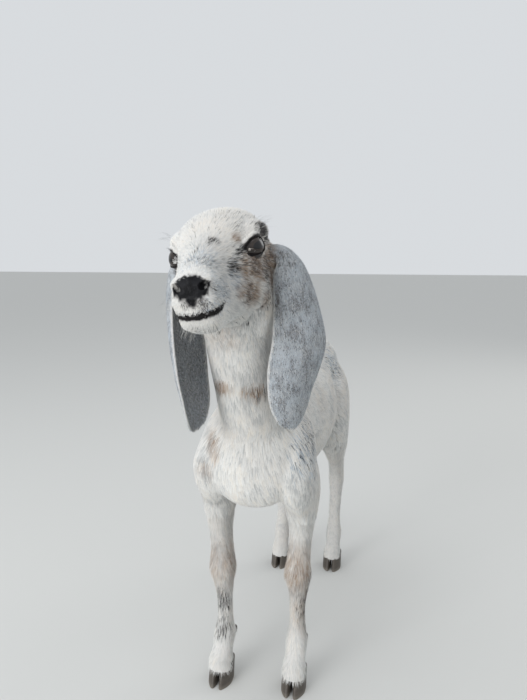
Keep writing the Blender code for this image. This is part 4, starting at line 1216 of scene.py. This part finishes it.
# %% Skin material
def make_skin():
    made, tree, shader = fresh("kid_skin")
    hair = tree.nodes.new("ShaderNodeGroup")
    hair.node_tree = hair_colours
    tree.links.new(attribute(tree, "marks"), hair.inputs["Marks"])
    # Halfway along a hair, so the skin takes part of the painted root shade
    hair.inputs["Strand"].default_value = (0.50, 0.5, 0)
    place = tree.nodes.new("ShaderNodeTexCoord").outputs["Object"]
    under = mix_colour(tree, 0.22, hair.outputs["Colour"], (0.46, 0.42, 0.40))
    is_nose, is_lip, is_rim = split_up(tree, attribute(tree, "bare"))
    broad = spread(tree, mottle(tree, place, 75, 2), 0.45, 0.62)
    fine = spread(tree, mottle(tree, place, 260, 4), 0.50, 0.75)
    pad = mix_colour(tree, broad, (0.002, 0.002, 0.003), (0.012, 0.012, 0.014))
    pad = mix_colour(tree, fine, pad, (0.022, 0.022, 0.024))
    colour = mix_colour(tree, is_lip, under, (0.012, 0.011, 0.011))
    colour = mix_colour(tree, is_rim, colour, (0.010, 0.008, 0.008))
    colour = mix_colour(tree, is_nose, colour, pad)
    tree.links.new(colour, shader.inputs["Base Color"])
    shader.inputs["Specular IOR Level"].default_value = 0.10
    wet = tree.nodes.new("ShaderNodeMath")
    wet.operation = "MAXIMUM"
    tree.links.new(is_nose, wet.inputs[0])
    tree.links.new(is_rim, wet.inputs[1])
    tree.links.new(spread(tree, wet.outputs[0], 0, 1, 0.72, 0.44), shader.inputs["Roughness"])
    cells = tree.nodes.new("ShaderNodeTexVoronoi")
    cells.inputs["Scale"].default_value = 900
    tree.links.new(place, cells.inputs["Vector"])
    raise_grain(tree, shader, cells.outputs["Distance"], 0.55, 0.0004)
    return made


skin.data.materials.clear()
skin.data.materials.append(make_skin())
bpy.ops.object.select_all(action="DESELECT")
bpy.context.view_layer.objects.active = skin
skin.select_set(True)
bpy.ops.object.shade_smooth()
FLESH = ["head", "neck", "torso", "tail", *LEGS, "ear_left", "ear_right"]
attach(skin, "root")
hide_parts(*FLESH)
print("skin stands for", len(FLESH), "solids")

# %% [markdown]
# ## Eyes
#
# A goat's eye is nearly all iris in front, with a pupil like a lying slot that lets it watch the whole
# skyline. The ball is turned so that its pole looks out of the socket, the clear front bulges a
# little, and three numbers at each point say where it lies across, up and out of the eye. The material draws
# iris, pupil and dark rim from them, under a wet coat.


# %% Eyeballs
def make_eye(side, name):
    out, front, up = (HEAD_TURN @ v for v in eye_axes(side))
    bpy.ops.object.select_all(action="DESELECT")
    bpy.ops.mesh.primitive_uv_sphere_add(segments=64, ring_count=40, radius=EYEBALL_RADIUS)
    eye = bpy.context.object
    eye.name = name
    basis = Matrix((front, up, out)).transposed()
    if basis.determinant() < 0:
        basis = Matrix((-front, up, out)).transposed()
    eye.data.transform(basis.to_4x4())
    directions = read(eye) / EYEBALL_RADIUS
    bulge = np.exp(-((np.arccos(np.clip(directions @ np.array(out), -1, 1)) / math.radians(34)) ** 4))
    write(eye, directions * (EYEBALL_RADIUS + 0.0007 * bulge)[:, None])
    eye.data.transform(Matrix.Translation(on_head(eye_centre(side))))
    gaze = np.stack([directions @ np.array(v) for v in (front, up, out)], axis=1)
    put(eye.data, "gaze", gaze)
    bpy.ops.object.shade_smooth()
    return eye


def make_eye_material():
    made, tree, shader = fresh("wet_eye")
    gaze = attribute(tree, "gaze")
    across_eye, up_eye, _ = split_up(tree, gaze)

    def measured(across, high):
        """How far out a place lies, when the eye is stretched by these numbers."""
        stretch = tree.nodes.new("ShaderNodeCombineXYZ")
        for k, (way, factor) in enumerate(((across_eye, across), (up_eye, high))):
            times = tree.nodes.new("ShaderNodeMath")
            times.operation = "MULTIPLY"
            times.inputs[1].default_value = factor
            tree.links.new(way, times.inputs[0])
            tree.links.new(times.outputs[0], stretch.inputs[k])
        length = tree.nodes.new("ShaderNodeVectorMath")
        length.operation = "LENGTH"
        tree.links.new(stretch.outputs[0], length.inputs[0])
        return length.outputs["Value"]

    from_pole = measured(1, 1)
    iris = mix_colour(tree, mottle(tree, gaze, 9, 5), (0.010, 0.007, 0.006), (0.040, 0.027, 0.020))
    iris = mix_colour(tree, spread(tree, from_pole, 0.50, 0.74), iris, (0.012, 0.008, 0.007))
    white = mix_colour(tree, spread(tree, from_pole, 0.74, 0.80), iris, (0.030, 0.022, 0.018))
    colour = mix_colour(tree, spread(tree, measured(1, 1.9), 0.44, 0.52), (0.003, 0.003, 0.004), white)
    tree.links.new(colour, shader.inputs["Base Color"])
    shader.inputs["Roughness"].default_value = 0.30
    shader.inputs["Specular IOR Level"].default_value = 0.10
    shader.inputs["Coat Weight"].default_value = 0.85
    shader.inputs["Coat Roughness"].default_value = 0.02
    return made


wet_eye = make_eye_material()
for side, name in ((1, "eyeball_left"), (-1, "eyeball_right")):
    eye = make_eye(side, name)
    eye.data.materials.append(wet_eye)
    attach(eye, "root")
    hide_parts(name.replace("eyeball", "eye"))
print("eyes:", triangles(eye), "triangles each")

# %% [markdown]
# ## Hooves
#
# Each foot ends in two claws of dark horn. A claw grows down from the hair line in fine rings, is pointed at
# the toe and stands on a flat sole. It is lofted from the sole up, with the rings as small ripples in its
# sections.

# %% Claws
HOOF_LENGTH, CLAW_WIDTH, CLEFT = 0.038, 0.0150, 0.0022


def claw_outline(inner_side, scale, lean, count=36):
    """The outline of one claw at one height, pointed at the toe and straight along the cleft."""
    outline = []
    for k in range(count):
        c, s = rounded(2 * math.pi * k / count, 2.4)
        along = s * HOOF_LENGTH / 2 * scale
        narrowing = 1 - 0.42 * max(0.0, s) ** 1.6
        across = (c * 0.5 + 0.5) * CLAW_WIDTH * narrowing * (0.92 + 0.08 * scale)
        outline.append((inner_side * (CLEFT / 2 + across), -along + lean))
    return outline


def make_claw(name, foot, inner_side):
    rings = []
    levels = [0.0, 0.03, *np.linspace(0.08, 0.97, 22), 1.0]
    for i, share in enumerate(levels):
        ripple = 1 + 0.010 * math.sin(i * 2.1) * (0.05 < share < 0.9)
        tuck = 0.965 if i == 0 else (0.94 if share == 1.0 else 1.0)
        outline = claw_outline(inner_side, (1.0 - 0.20 * share) * ripple, 0.0075 * share - 0.002)
        middle = inner_side * (CLEFT / 2 + CLAW_WIDTH / 2)
        ring = [(middle + (x - middle) * tuck, y * tuck) for x, y in outline]
        height = share * (CORONET_HEIGHT + 0.002)
        rings.append([(foot.x + x, foot.y + y, height) for x, y in ring])
    claw = skin_rings(name, rings)
    claw.data.shade_smooth()
    claw.data.set_sharp_from_angle(angle=math.radians(50))
    return claw


def make_horn():
    made, tree, shader = fresh("hoof_horn")
    place = tree.nodes.new("ShaderNodeTexCoord").outputs["Object"]
    squeeze = tree.nodes.new("ShaderNodeMapping")
    squeeze.inputs["Scale"].default_value = (1, 1, 6)
    tree.links.new(place, squeeze.inputs["Vector"])
    rings = mottle(tree, squeeze.outputs[0], 90, 5)
    low_down = spread(tree, split_up(tree, place)[2], 0.0, 0.006, 0.55, 0.0)
    horn = mix_colour(tree, rings, (0.020, 0.017, 0.015), (0.125, 0.105, 0.085))
    worn = mix_colour(tree, low_down, horn, (0.26, 0.23, 0.19))
    tree.links.new(worn, shader.inputs["Base Color"])
    tree.links.new(spread(tree, rings, 0.3, 0.7, 0.38, 0.60), shader.inputs["Roughness"])
    raise_grain(tree, shader, rings, 0.35, 0.0006)
    return made


hoof_horn = make_horn()
dewclaws = []
for name, (side, rows, step) in LEGS.items():
    foot = Vector(rows(side, step)[-2][:3]) + SHIFT + Vector((0, -0.004, 0))
    for where, inner_side in (("outer", side), ("inner", -side)):
        node = f"hoof_{name.replace('leg', '')}_{where}"
        claw = make_claw(node + "_horn", foot, inner_side)
        claw.data.materials.append(hoof_horn)
        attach(claw, "root")
        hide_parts(node)
    fetlock = Vector(rows(side, step)[-4][:3]) + SHIFT
    for across in (-1, 1):
        lean = Matrix.Rotation(math.radians(-35), 3, "X")
        place = fetlock + Vector((across * 0.0085, 0.0178, -0.0072))
        dewclaws.append(ball("dewclaw", place, (0.0031, 0.0026, 0.0056), lean, 20))
dewclaw = joined("dewclaws", dewclaws)
dewclaw.data.materials.append(hoof_horn)
dewclaw.data.shade_smooth()
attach(dewclaw, "root")
print("claws and dewclaws done, claw:", triangles(claw), "triangles")

# %% [markdown]
# ## The coat
#
# Hair curves and particle hair don't survive an export, so each tuft is a small closed spike of a few faces.
# Short hair on the face, ears and shins needs only a base and a tip. The longer coat of neck, chest and
# trunk gets a bend in its middle. Roots are spread evenly over the form, each tuft leans the way the hair
# lies there, and its tip is brought to a set height above the skin, so the coat follows the body. Near
# tufts share a lock: their tips are drawn a little towards one of them. The tufts cast no shadow in the
# render, because white hair lets most of the light through.

# %% Roots, spread evenly over a form
def mesh_arrays(mesh):
    mesh.calc_loop_triangles()
    places = np.empty(len(mesh.vertices) * 3, np.float32)
    normals = np.empty(len(mesh.vertices) * 3, np.float32)
    faces = np.empty(len(mesh.loop_triangles) * 3, np.int32)
    mesh.vertices.foreach_get("co", places)
    mesh.vertices.foreach_get("normal", normals)
    mesh.loop_triangles.foreach_get("vertices", faces)
    return places.reshape(-1, 3).astype(float), normals.reshape(-1, 3).astype(float), faces.reshape(-1, 3)


def unit(vectors):
    return vectors / np.maximum(np.linalg.norm(vectors, axis=1), 1e-9)[:, None]


def scatter(mesh, keep, density, seed):
    """Roots on the faces whose middle is kept, this many to the square metre."""
    places, normals, faces = mesh_arrays(mesh)
    corners = places[faces]
    chosen = keep(corners.mean(axis=1))
    faces, corners = faces[chosen], corners[chosen]
    areas = np.linalg.norm(np.cross(corners[:, 1] - corners[:, 0], corners[:, 2] - corners[:, 0]), axis=1) / 2
    wanted = np.cumsum(areas * density)
    count = int(wanted[-1])
    dice = np.random.default_rng(seed)
    face = np.searchsorted(wanted, (np.arange(count) + dice.random(count)) / count * wanted[-1])
    face = np.minimum(face, len(faces) - 1)
    a, b = dice.random(count), dice.random(count)
    flip = a + b > 1
    a[flip], b[flip] = 1 - a[flip], 1 - b[flip]
    weights = np.stack([1 - a - b, a, b], axis=1)
    roots = (corners[face] * weights[:, :, None]).sum(axis=1)
    ups = unit((normals[faces[face]] * weights[:, :, None]).sum(axis=1))
    return roots, ups, dice


# %% [markdown]
# The lie of the coat is a direction at each root. On the face it runs from the nose back over the forehead
# and cheeks, and parts round the eyes. It runs down the neck, the breast and the legs, and backward and down
# over the trunk.


# %% The lie of the coat
def lie_on_head(points, ups):
    q = in_head(points)
    lie = np.zeros_like(q)
    lie[:, 1] = 1.0
    lie[:, 2] = -0.55 * ramp(-q[:, 2], 0.0, 0.03) + 0.25 * ramp(q[:, 2], 0.005, 0.03)
    lie[:, 0] = 0.35 * np.sign(q[:, 0]) * ramp(np.abs(q[:, 0]), 0.0, 0.02)
    # Over the poll it turns down to the neck
    lie[:, 2] -= 1.3 * ramp(q[:, 1], 0.035, 0.060)
    for side in (-1, 1):
        away = q - np.array(eye_centre(side))
        near = np.exp(-((np.linalg.norm(away, axis=1) / 0.019) ** 4))
        lie += near[:, None] * unit(away) * 1.2
    return lie @ np.array(HEAD_TURN).T


def lie_on_body(points, ups):
    y, z = points[:, 1] - SHIFT.y, points[:, 2]
    side = np.abs(ups[:, 0])
    lie = np.stack([np.zeros(len(y)), np.ones(len(y)), -0.30 - 0.75 * side], axis=1)
    front = ramp(-y, 0.105, 0.165)
    down = np.stack([0.25 * np.sign(points[:, 0]) * side, 0.25 + 0 * y, -np.ones(len(y))], axis=1)
    lie = lie * (1 - front)[:, None] + down * front[:, None]
    leg = 1 - ramp(z, 0.235, 0.285)
    lie = lie * (1 - leg)[:, None] + np.array([0, 0.10, -1.0]) * leg[:, None]
    rear = ramp(y, 0.17, 0.225)
    return lie * (1 - rear)[:, None] + np.array([0, 0.30, -1.0]) * rear[:, None]


def combed(lie, ups, points, swirl, seed):
    """The lie laid flat on the skin and turned a little from place to place."""
    for size, amount in ((0.045, swirl), (0.012, swirl * 0.7)):
        turn = np.stack([noise(points, size, seed + k) - 0.5 for k in range(3)], axis=1)
        lie = lie + turn * amount
    flat = lie - ups * (lie * ups).sum(axis=1)[:, None]
    return unit(flat)


# %% [markdown]
# Every tuft has a patch of its own in the map named OFBake, at its root's place on an unwrap of the
# skin: round and along each part of the animal. An export can then bake the colours without mixing those of
# distant hairs.


# %% The unwrap
def around(points, centre_x, centre_z):
    return (np.arctan2(points[:, 0] - centre_x, points[:, 2] - centre_z) / (2 * math.pi)) % 1.0


def unwrap_trunk(points, ups):
    return np.stack([around(points, SHIFT.x, 0.33), (points[:, 1] + 0.2) / 0.52], axis=1)


def unwrap_neck(points, ups):
    across = points - np.array(NECK_CUT)
    u = (np.arctan2(across[:, 0], across[:, 1] + across[:, 2] * 0.46) / (2 * math.pi)) % 1.0
    return np.stack([u, (points[:, 2] - 0.33) / 0.24], axis=1)


def unwrap_head(points, ups):
    q = in_head(points) - np.array((0, -0.010, -0.012))
    v = np.arctan2(np.hypot(q[:, 0], q[:, 2]), -q[:, 1]) / math.pi
    return np.stack([(np.arctan2(q[:, 0], q[:, 2]) / (2 * math.pi)) % 1.0, v], axis=1)


def unwrap_legs(points, ups):
    leg = (points[:, 0] > SHIFT.x) * 0.5
    sy = SHIFT.y
    centre = np.where(points[:, 1] - sy < 0.05, FORELEG_Y + sy, HINDLEG_Y + sy - 0.02)
    turn = np.arctan2(np.abs(points[:, 0] - SHIFT.x) - 0.050, points[:, 1] - centre) / (2 * math.pi)
    return np.stack([leg + (turn % 1.0) * 0.5, points[:, 2] / 0.34], axis=1)


def unwrap_ear(points, ups):
    """Across and down the leaf, with the inner face beside the outer one."""
    across, down, inner = place_on_ear(points, ups).T
    return np.stack([across * 0.5 + 0.5 * inner, down], axis=1)


# %% Tufts as one mesh
PATCH, SOFTNESS, FLATNESS = 0.003, 0.72, 0.46
coat_ground = tree_of(head_form, body_form)


def lay_down(tips, height):
    """Moves each tip to its height above the nearest skin of head or body."""
    laid = np.array(tips)
    for i, tip in enumerate(tips):
        place, normal, *_ = coat_ground.find_nearest(Vector(tip))
        laid[i] = place + normal * height[i]
    return laid


def drawn_to_locks(roots, tips, every, pull, dice):
    """Draws each tip towards the tip of the lock that its root is nearest to."""
    heads = dice.permutation(len(roots))[: max(1, len(roots) // every)]
    tree = KDTree(len(heads))
    for i, head_root in enumerate(heads):
        tree.insert(roots[head_root], i)
    tree.balance()
    own = np.array([heads[tree.find(r)[1]] for r in roots])
    share = pull * dice.uniform(0.5, 1.2, len(roots))[:, None]
    return tips + (tips[own] - tips) * share, dice.random(len(roots))[own]


def build_tufts(name, stations, sides, ups, wide, marks, tints, patches):
    """Closed three-sided tufts: spikes from root to tip, or spindles that bend at a third, middle station."""
    bent = len(stations) == 3
    ring, tip = (stations[1], stations[2]) if bent else (stations[0], stations[1])
    over = unit(np.cross(sides, unit(tip - ring)))
    half = wide[:, None] / 2
    corners = [ring - sides * half, ring + sides * half, ring + over * half * FLATNESS]
    shades = [ups * SOFTNESS + own * (1 - SOFTNESS) for own in (-sides, sides, over)]
    # How far along the hair each station lies: the low shares near the root take the painted root shade
    shares = [0.55 if bent else 0.0] * 3
    faces = [(k, 3, (k + 1) % 3) for k in range(3)]
    local = [(0, 0.5), (0.5, 0.5), (1, 0.5)] if bent else [(0, 0), (0.5, 0), (1, 0)]
    points, shading = [*corners, tip], [*shades, ups]
    shares.append(1.0)
    local.append((0.5, 1))
    if bent:
        points.append(stations[0])
        shading.append(ups)
        shares.append(0.2)
        local.append((0.5, 0))
        faces += [(k, (k + 1) % 3, 4) for k in range(3)]
    else:
        faces.append((0, 1, 2))
    points, shading = np.stack(points, axis=1), np.stack(shading, axis=1)
    count, each = points.shape[:2]
    all_faces = (np.array(faces)[None] + np.arange(count)[:, None, None] * each).reshape(-1, 3)
    mesh = bpy.data.meshes.new(name)
    mesh.vertices.add(count * each)
    mesh.vertices.foreach_set("co", points.astype(np.float32).ravel())
    mesh.loops.add(len(all_faces) * 3)
    mesh.loops.foreach_set("vertex_index", all_faces.astype(np.int32).ravel())
    mesh.polygons.add(len(all_faces))
    mesh.polygons.foreach_set("loop_start", np.arange(0, len(all_faces) * 3, 3, dtype=np.int32))
    mesh.update(calc_edges=True)
    put(mesh, "marks", np.repeat(marks, each, axis=0))
    strand = np.zeros((count, each, 3))
    strand[:, :, 0] = shares
    strand[:, :, 1] = tints[:, None]
    put(mesh, "strand", strand.reshape(-1, 3))
    # The patch: across it round the tuft, and up it from root to tip
    uv = patches[:, None, :] * (1 - PATCH) + np.array(local)[None] * PATCH
    layer = mesh.uv_layers.new(name="OFBake")
    layer.data.foreach_set("uv", uv[:, np.array(faces).ravel()].astype(np.float32).ravel())
    # Light falls on a tuft partly as on the form under it, which makes many spikes read as soft hair. Only
    # the faces that look down at the skin keep their own direction
    at_corners = shading[:, np.array(faces).ravel()]
    for i, face in enumerate(faces):
        if 2 not in face:
            at_corners[:, 3 * i : 3 * i + 3] = -over[:, None, :]
    mesh.normals_split_custom_set(unit(at_corners.reshape(-1, 3)))
    mesh.materials.append(coat_hair)
    fur = new_object(name, mesh)
    fur.visible_shadow = False
    return fur


def dice_colours(chances, dice):
    """Each tuft is black, grey, tan or white, and not a mixture."""
    draw = dice.random(chances.shape)
    marks = (draw < chances).astype(float)
    # Tan is a stain and may be partial
    marks[:, TAN] = np.clip(chances[:, TAN] * dice.uniform(0.5, 1.3, len(chances)), 0, 1)
    return marks


def grow(
    name, form, keep, density, seed, lie, length, width, height, bend, locks, unwrap,
    on_ear=False, liveliness=1.15,
):
    """Grows one piece of the coat and hands it to the frame."""
    roots, ups, dice = scatter(form, keep, density, seed)
    bare = bare_masks(roots).max(axis=1) if name in ("fur_face", "fur_cheeks") else np.zeros(len(roots))
    roots, ups = roots[bare < 0.35], ups[bare < 0.35]
    way = combed(lie(roots, ups), ups, roots, 0.42 if bend else 0.35, seed)
    size = length(roots) * dice.uniform(0.72, 1.25, len(roots))
    # The low tufts are wide and fill the coat, and the high ones are fine
    rise = dice.random(len(roots)) ** 0.7
    lift = height(roots) * (0.50 + 0.66 * rise)
    tips = roots + way * size[:, None]
    tips, lock_tint = drawn_to_locks(roots, tips, *locks, dice)
    sides = unit(np.cross(way, ups) + ups * dice.uniform(-0.30, 0.30, len(roots))[:, None])
    wide = width * dice.uniform(0.75, 1.25, len(roots)) * ((1.9 - 1.15 * rise) if bend else 1.0)
    starts = roots - ups * 0.0006
    if bend:
        middles = lay_down(roots * 0.55 + tips * 0.45, lift * 0.92)
        tips = lay_down(tips, lift)
        stations = [starts, middles, tips]
    else:
        stations = [starts, tips + ups * lift[:, None]]
    marks = dice_colours(colour_chances(roots, np.full(len(roots), on_ear), ups), dice)
    tints = (noise(roots, 0.02, seed + 5) - 0.5) * 0.5 + (lock_tint - 0.5) * 0.5
    tints = tints + dice.uniform(-0.28, 0.28, len(roots))
    tints = np.clip(0.5 + tints * liveliness, 0, 1)
    fur = build_tufts(name, stations, sides, ups, wide, marks, tints, unwrap(roots, ups) % 1.0)
    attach(fur, "root")
    print(name, len(roots), "tufts,", len(fur.data.polygons), "faces")
    return fur


# %% [markdown]
# ## The coat, part by part
#
# The face has the shortest hair, the ears hardly longer. The neck, breast and shoulders are shaggy on a kid
# of this age, the trunk a little smoother, and the shins are close-haired.


# %% Face and cheeks
def always(number):
    return lambda points: np.full(len(points), number)


def ahead_of_neck(points):
    return past_cut(points) > 0.0005


def face_length(points):
    q = in_head(points)
    length = 0.0030 + 0.0040 * ramp(q[:, 1], -0.085, -0.03) + 0.0030 * ramp(q[:, 1], -0.03, 0.02)
    for side in (-1, 1):
        away = np.linalg.norm(q - np.array(eye_centre(side)), axis=1)
        length = length * (0.45 + 0.55 * ramp(away, 0.016, 0.028))
    return length


def face_height(points):
    return 0.25 * face_length(points)


def throat_share(points):
    """0 on the face, 1 where the long hair of the throat and neck begins."""
    q = in_head(points)
    ragged = (noise(points, 0.006, 15) - 0.5) * 0.35
    return ramp(q[:, 1] - q[:, 2] * 0.8, 0.048, 0.085) + ragged


def throat_length(points):
    return 0.0070 + 0.0055 * ramp(throat_share(points), 0.5, 1.0)


def throat_height(points):
    return 0.0016 + 0.0018 * ramp(throat_share(points), 0.5, 1.0)


grow(
    "fur_face", head_form, lambda p: ahead_of_neck(p) & (in_head(p)[:, 1] < 0.0), 2.2e6, 21,
    lie_on_head, face_length, 0.00060, face_height, False, (9, 0.35),
    unwrap_head, liveliness=1.1,
)
grow(
    "fur_cheeks", head_form,
    lambda p: ahead_of_neck(p) & (in_head(p)[:, 1] >= 0.0) & (throat_share(p) < 0.5), 1.7e6, 22,
    lie_on_head, face_length, 0.00070, face_height, False, (9, 0.35),
    unwrap_head, liveliness=1.1,
)

# %% Ears
for side, name in ((1, "fur_ear_left"), (-1, "fur_ear_right")):
    grow(
        name, ear_forms[side], lambda p: np.ones(len(p), bool), 1.0e6, 30 + side,
        lambda p, n: np.tile((0.0, 0.05, -1.0), (len(p), 1)), always(0.0032), 0.00060,
        always(0.0007), False, (5, 0.25), unwrap_ear, on_ear=True,
    )


# %% Neck and breast
# Below this height the hair belongs to the legs
LEG_TOP = 0.245


def y_of(points):
    return points[:, 1] - SHIFT.y


def on_neck(points):
    return (past_cut(points) > -0.105) & (y_of(points) < -0.02) & (points[:, 2] > 0.385)


def coat_length(points):
    y, z = y_of(points), points[:, 2]
    length = 0.0150 + 0.0050 * ramp(-y, 0.06, 0.14) - 0.0040 * ramp(z, 0.43, 0.50)
    return length - 0.0085 * (1 - ramp(z, 0.20, 0.29))


def coat_height(points):
    return body_depth(points) * 0.85


def below_head(points):
    return past_cut(points) < 0.0060


grow(
    "fur_throat", head_form, lambda p: ahead_of_neck(p) & (throat_share(p) >= 0.5), 1.0e6, 41,
    lambda p, n: np.tile((0.0, 0.35, -1.0), (len(p), 1)), throat_length, 0.00085, throat_height, True,
    (9, 0.35), unwrap_neck,
)
grow(
    "fur_neck", body_form, lambda p: below_head(p) & on_neck(p),
    0.86e6, 42, lie_on_body, coat_length, 0.00086, coat_height, True, (14, 0.42),
    unwrap_neck,
)


def trunk_part(points):
    return (points[:, 2] > LEG_TOP) & below_head(points) & ~on_neck(points)


TRUNK_PARTS = {
    "fur_breast": (-0.30, -0.105, 0, 0.67e6),
    "fur_shoulder_left": (-0.105, 0.02, 1, 0.52e6),
    "fur_shoulder_right": (-0.105, 0.02, -1, 0.43e6),
    "fur_flank_left": (0.02, 0.125, 1, 0.48e6),
    "fur_flank_right": (0.02, 0.125, -1, 0.42e6),
    "fur_rump": (0.125, 0.40, 0, 0.30e6),
}
for i, (name, (start, end, side, thick)) in enumerate(TRUNK_PARTS.items()):

    def in_part(points, start=start, end=end, side=side):
        y = y_of(points)
        chosen = trunk_part(points) & (y >= start) & (y < end)
        return chosen & ((points[:, 0] - SHIFT.x) * side >= 0)

    grow(
        name, body_form, in_part, thick, 50 + i, lie_on_body, coat_length, 0.00100,
        coat_height, True, (14, 0.42), unwrap_trunk,
    )

# %% Legs
for i, (name, front) in enumerate((("fur_forelegs", True), ("fur_hindlegs", False))):

    def on_leg(points, front=front):
        z = points[:, 2]
        return (z <= LEG_TOP) & (z > CORONET_HEIGHT - 0.001) & ((y_of(points) < 0.05) == front)

    grow(
        name, body_form, on_leg, 0.48e6, 70 + i, lie_on_body, coat_length, 0.00080,
        coat_height, False, (8, 0.25), unwrap_legs,
    )

# %% [markdown]
# ## Whiskers and lashes
#
# Long single hairs stand out of the short coat over each eye, under it, on the lips and on the chin, and
# a row of lashes stands on the upper lid. Each is a very slender tuft of its own, curved once.

# %% Whiskers and lashes
WHISKERS = [
    # place on the left side of the head, spread, number, length, way out of the skin, share of black ones
    ((0.0440, 0.006, 0.0200), 0.0050, 18, 0.020, (0.80, -0.10, 0.60), 0.75),
    ((0.0420, -0.012, -0.0170), 0.0040, 5, 0.019, (0.80, -0.30, -0.50), 0.70),
    ((0.0200, -0.078, -0.0390), 0.0080, 26, 0.014, (0.85, -0.35, -0.25), 0.35),
    ((0.0120, -0.082, -0.0640), 0.0075, 24, 0.012, (0.35, -0.50, -0.80), 0.12),
]


def grow_whiskers():
    dice = np.random.default_rng(90)
    roots, ways, lengths, black = [], [], [], []
    for side in (1, -1):
        for place, reach, number, length, way, share in WHISKERS:
            for _ in range(number):
                guess = Vector(place) + Vector(dice.normal(0, reach * 0.6, 3))
                guess.x *= side
                roots.append(head_surface.find_nearest(on_head(guess))[0])
                tilt = Vector(dice.normal(0, 0.22, 3))
                ways.append(HEAD_TURN @ (Vector((way[0] * side, way[1], way[2])) + tilt))
                lengths.append(length * dice.uniform(0.5, 1.2))
                black.append(dice.random() < share)
        out, _, up = eye_axes(side)
        for k in range(46):
            angle = math.radians(18 + 140 * (k + dice.random()) / 46)
            edge = lid_direction(side, angle, 1.10) * (EYEBALL_RADIUS + 0.0012)
            roots.append(on_head(eye_centre(side) + edge))
            fan = lid_direction(side, angle, 2.0)
            ways.append(HEAD_TURN @ (out * 0.75 + fan * 0.55 + up * 0.35 + Vector(dice.normal(0, 0.08, 3))))
            lengths.append(0.0062 * dice.uniform(0.7, 1.2))
            black.append(True)
    roots, ways, lengths = np.array(roots), unit(np.array(ways)), np.array(lengths)[:, None]
    sag = np.array((0, 0.15, -0.30)) * lengths
    middles, tips = roots + ways * lengths * 0.5 + sag * 0.15, roots + ways * lengths + sag
    stations = [roots - ways * 0.0008, middles, tips]
    sides = unit(np.cross(ways, np.tile((0.0, 0.0, 1.0), (len(roots), 1))))
    wide = np.full(len(roots), 0.00028)
    marks = np.zeros((len(roots), 3))
    marks[:, BLACK] = black
    tints = dice.uniform(0.4, 0.9, len(roots))
    patches = unwrap_head(roots, ways) % 1.0
    whiskers = build_tufts("whiskers", stations, sides, ways, wide, marks, tints, patches)
    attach(whiskers, "root")
    print("whiskers and lashes:", len(roots))


grow_whiskers()
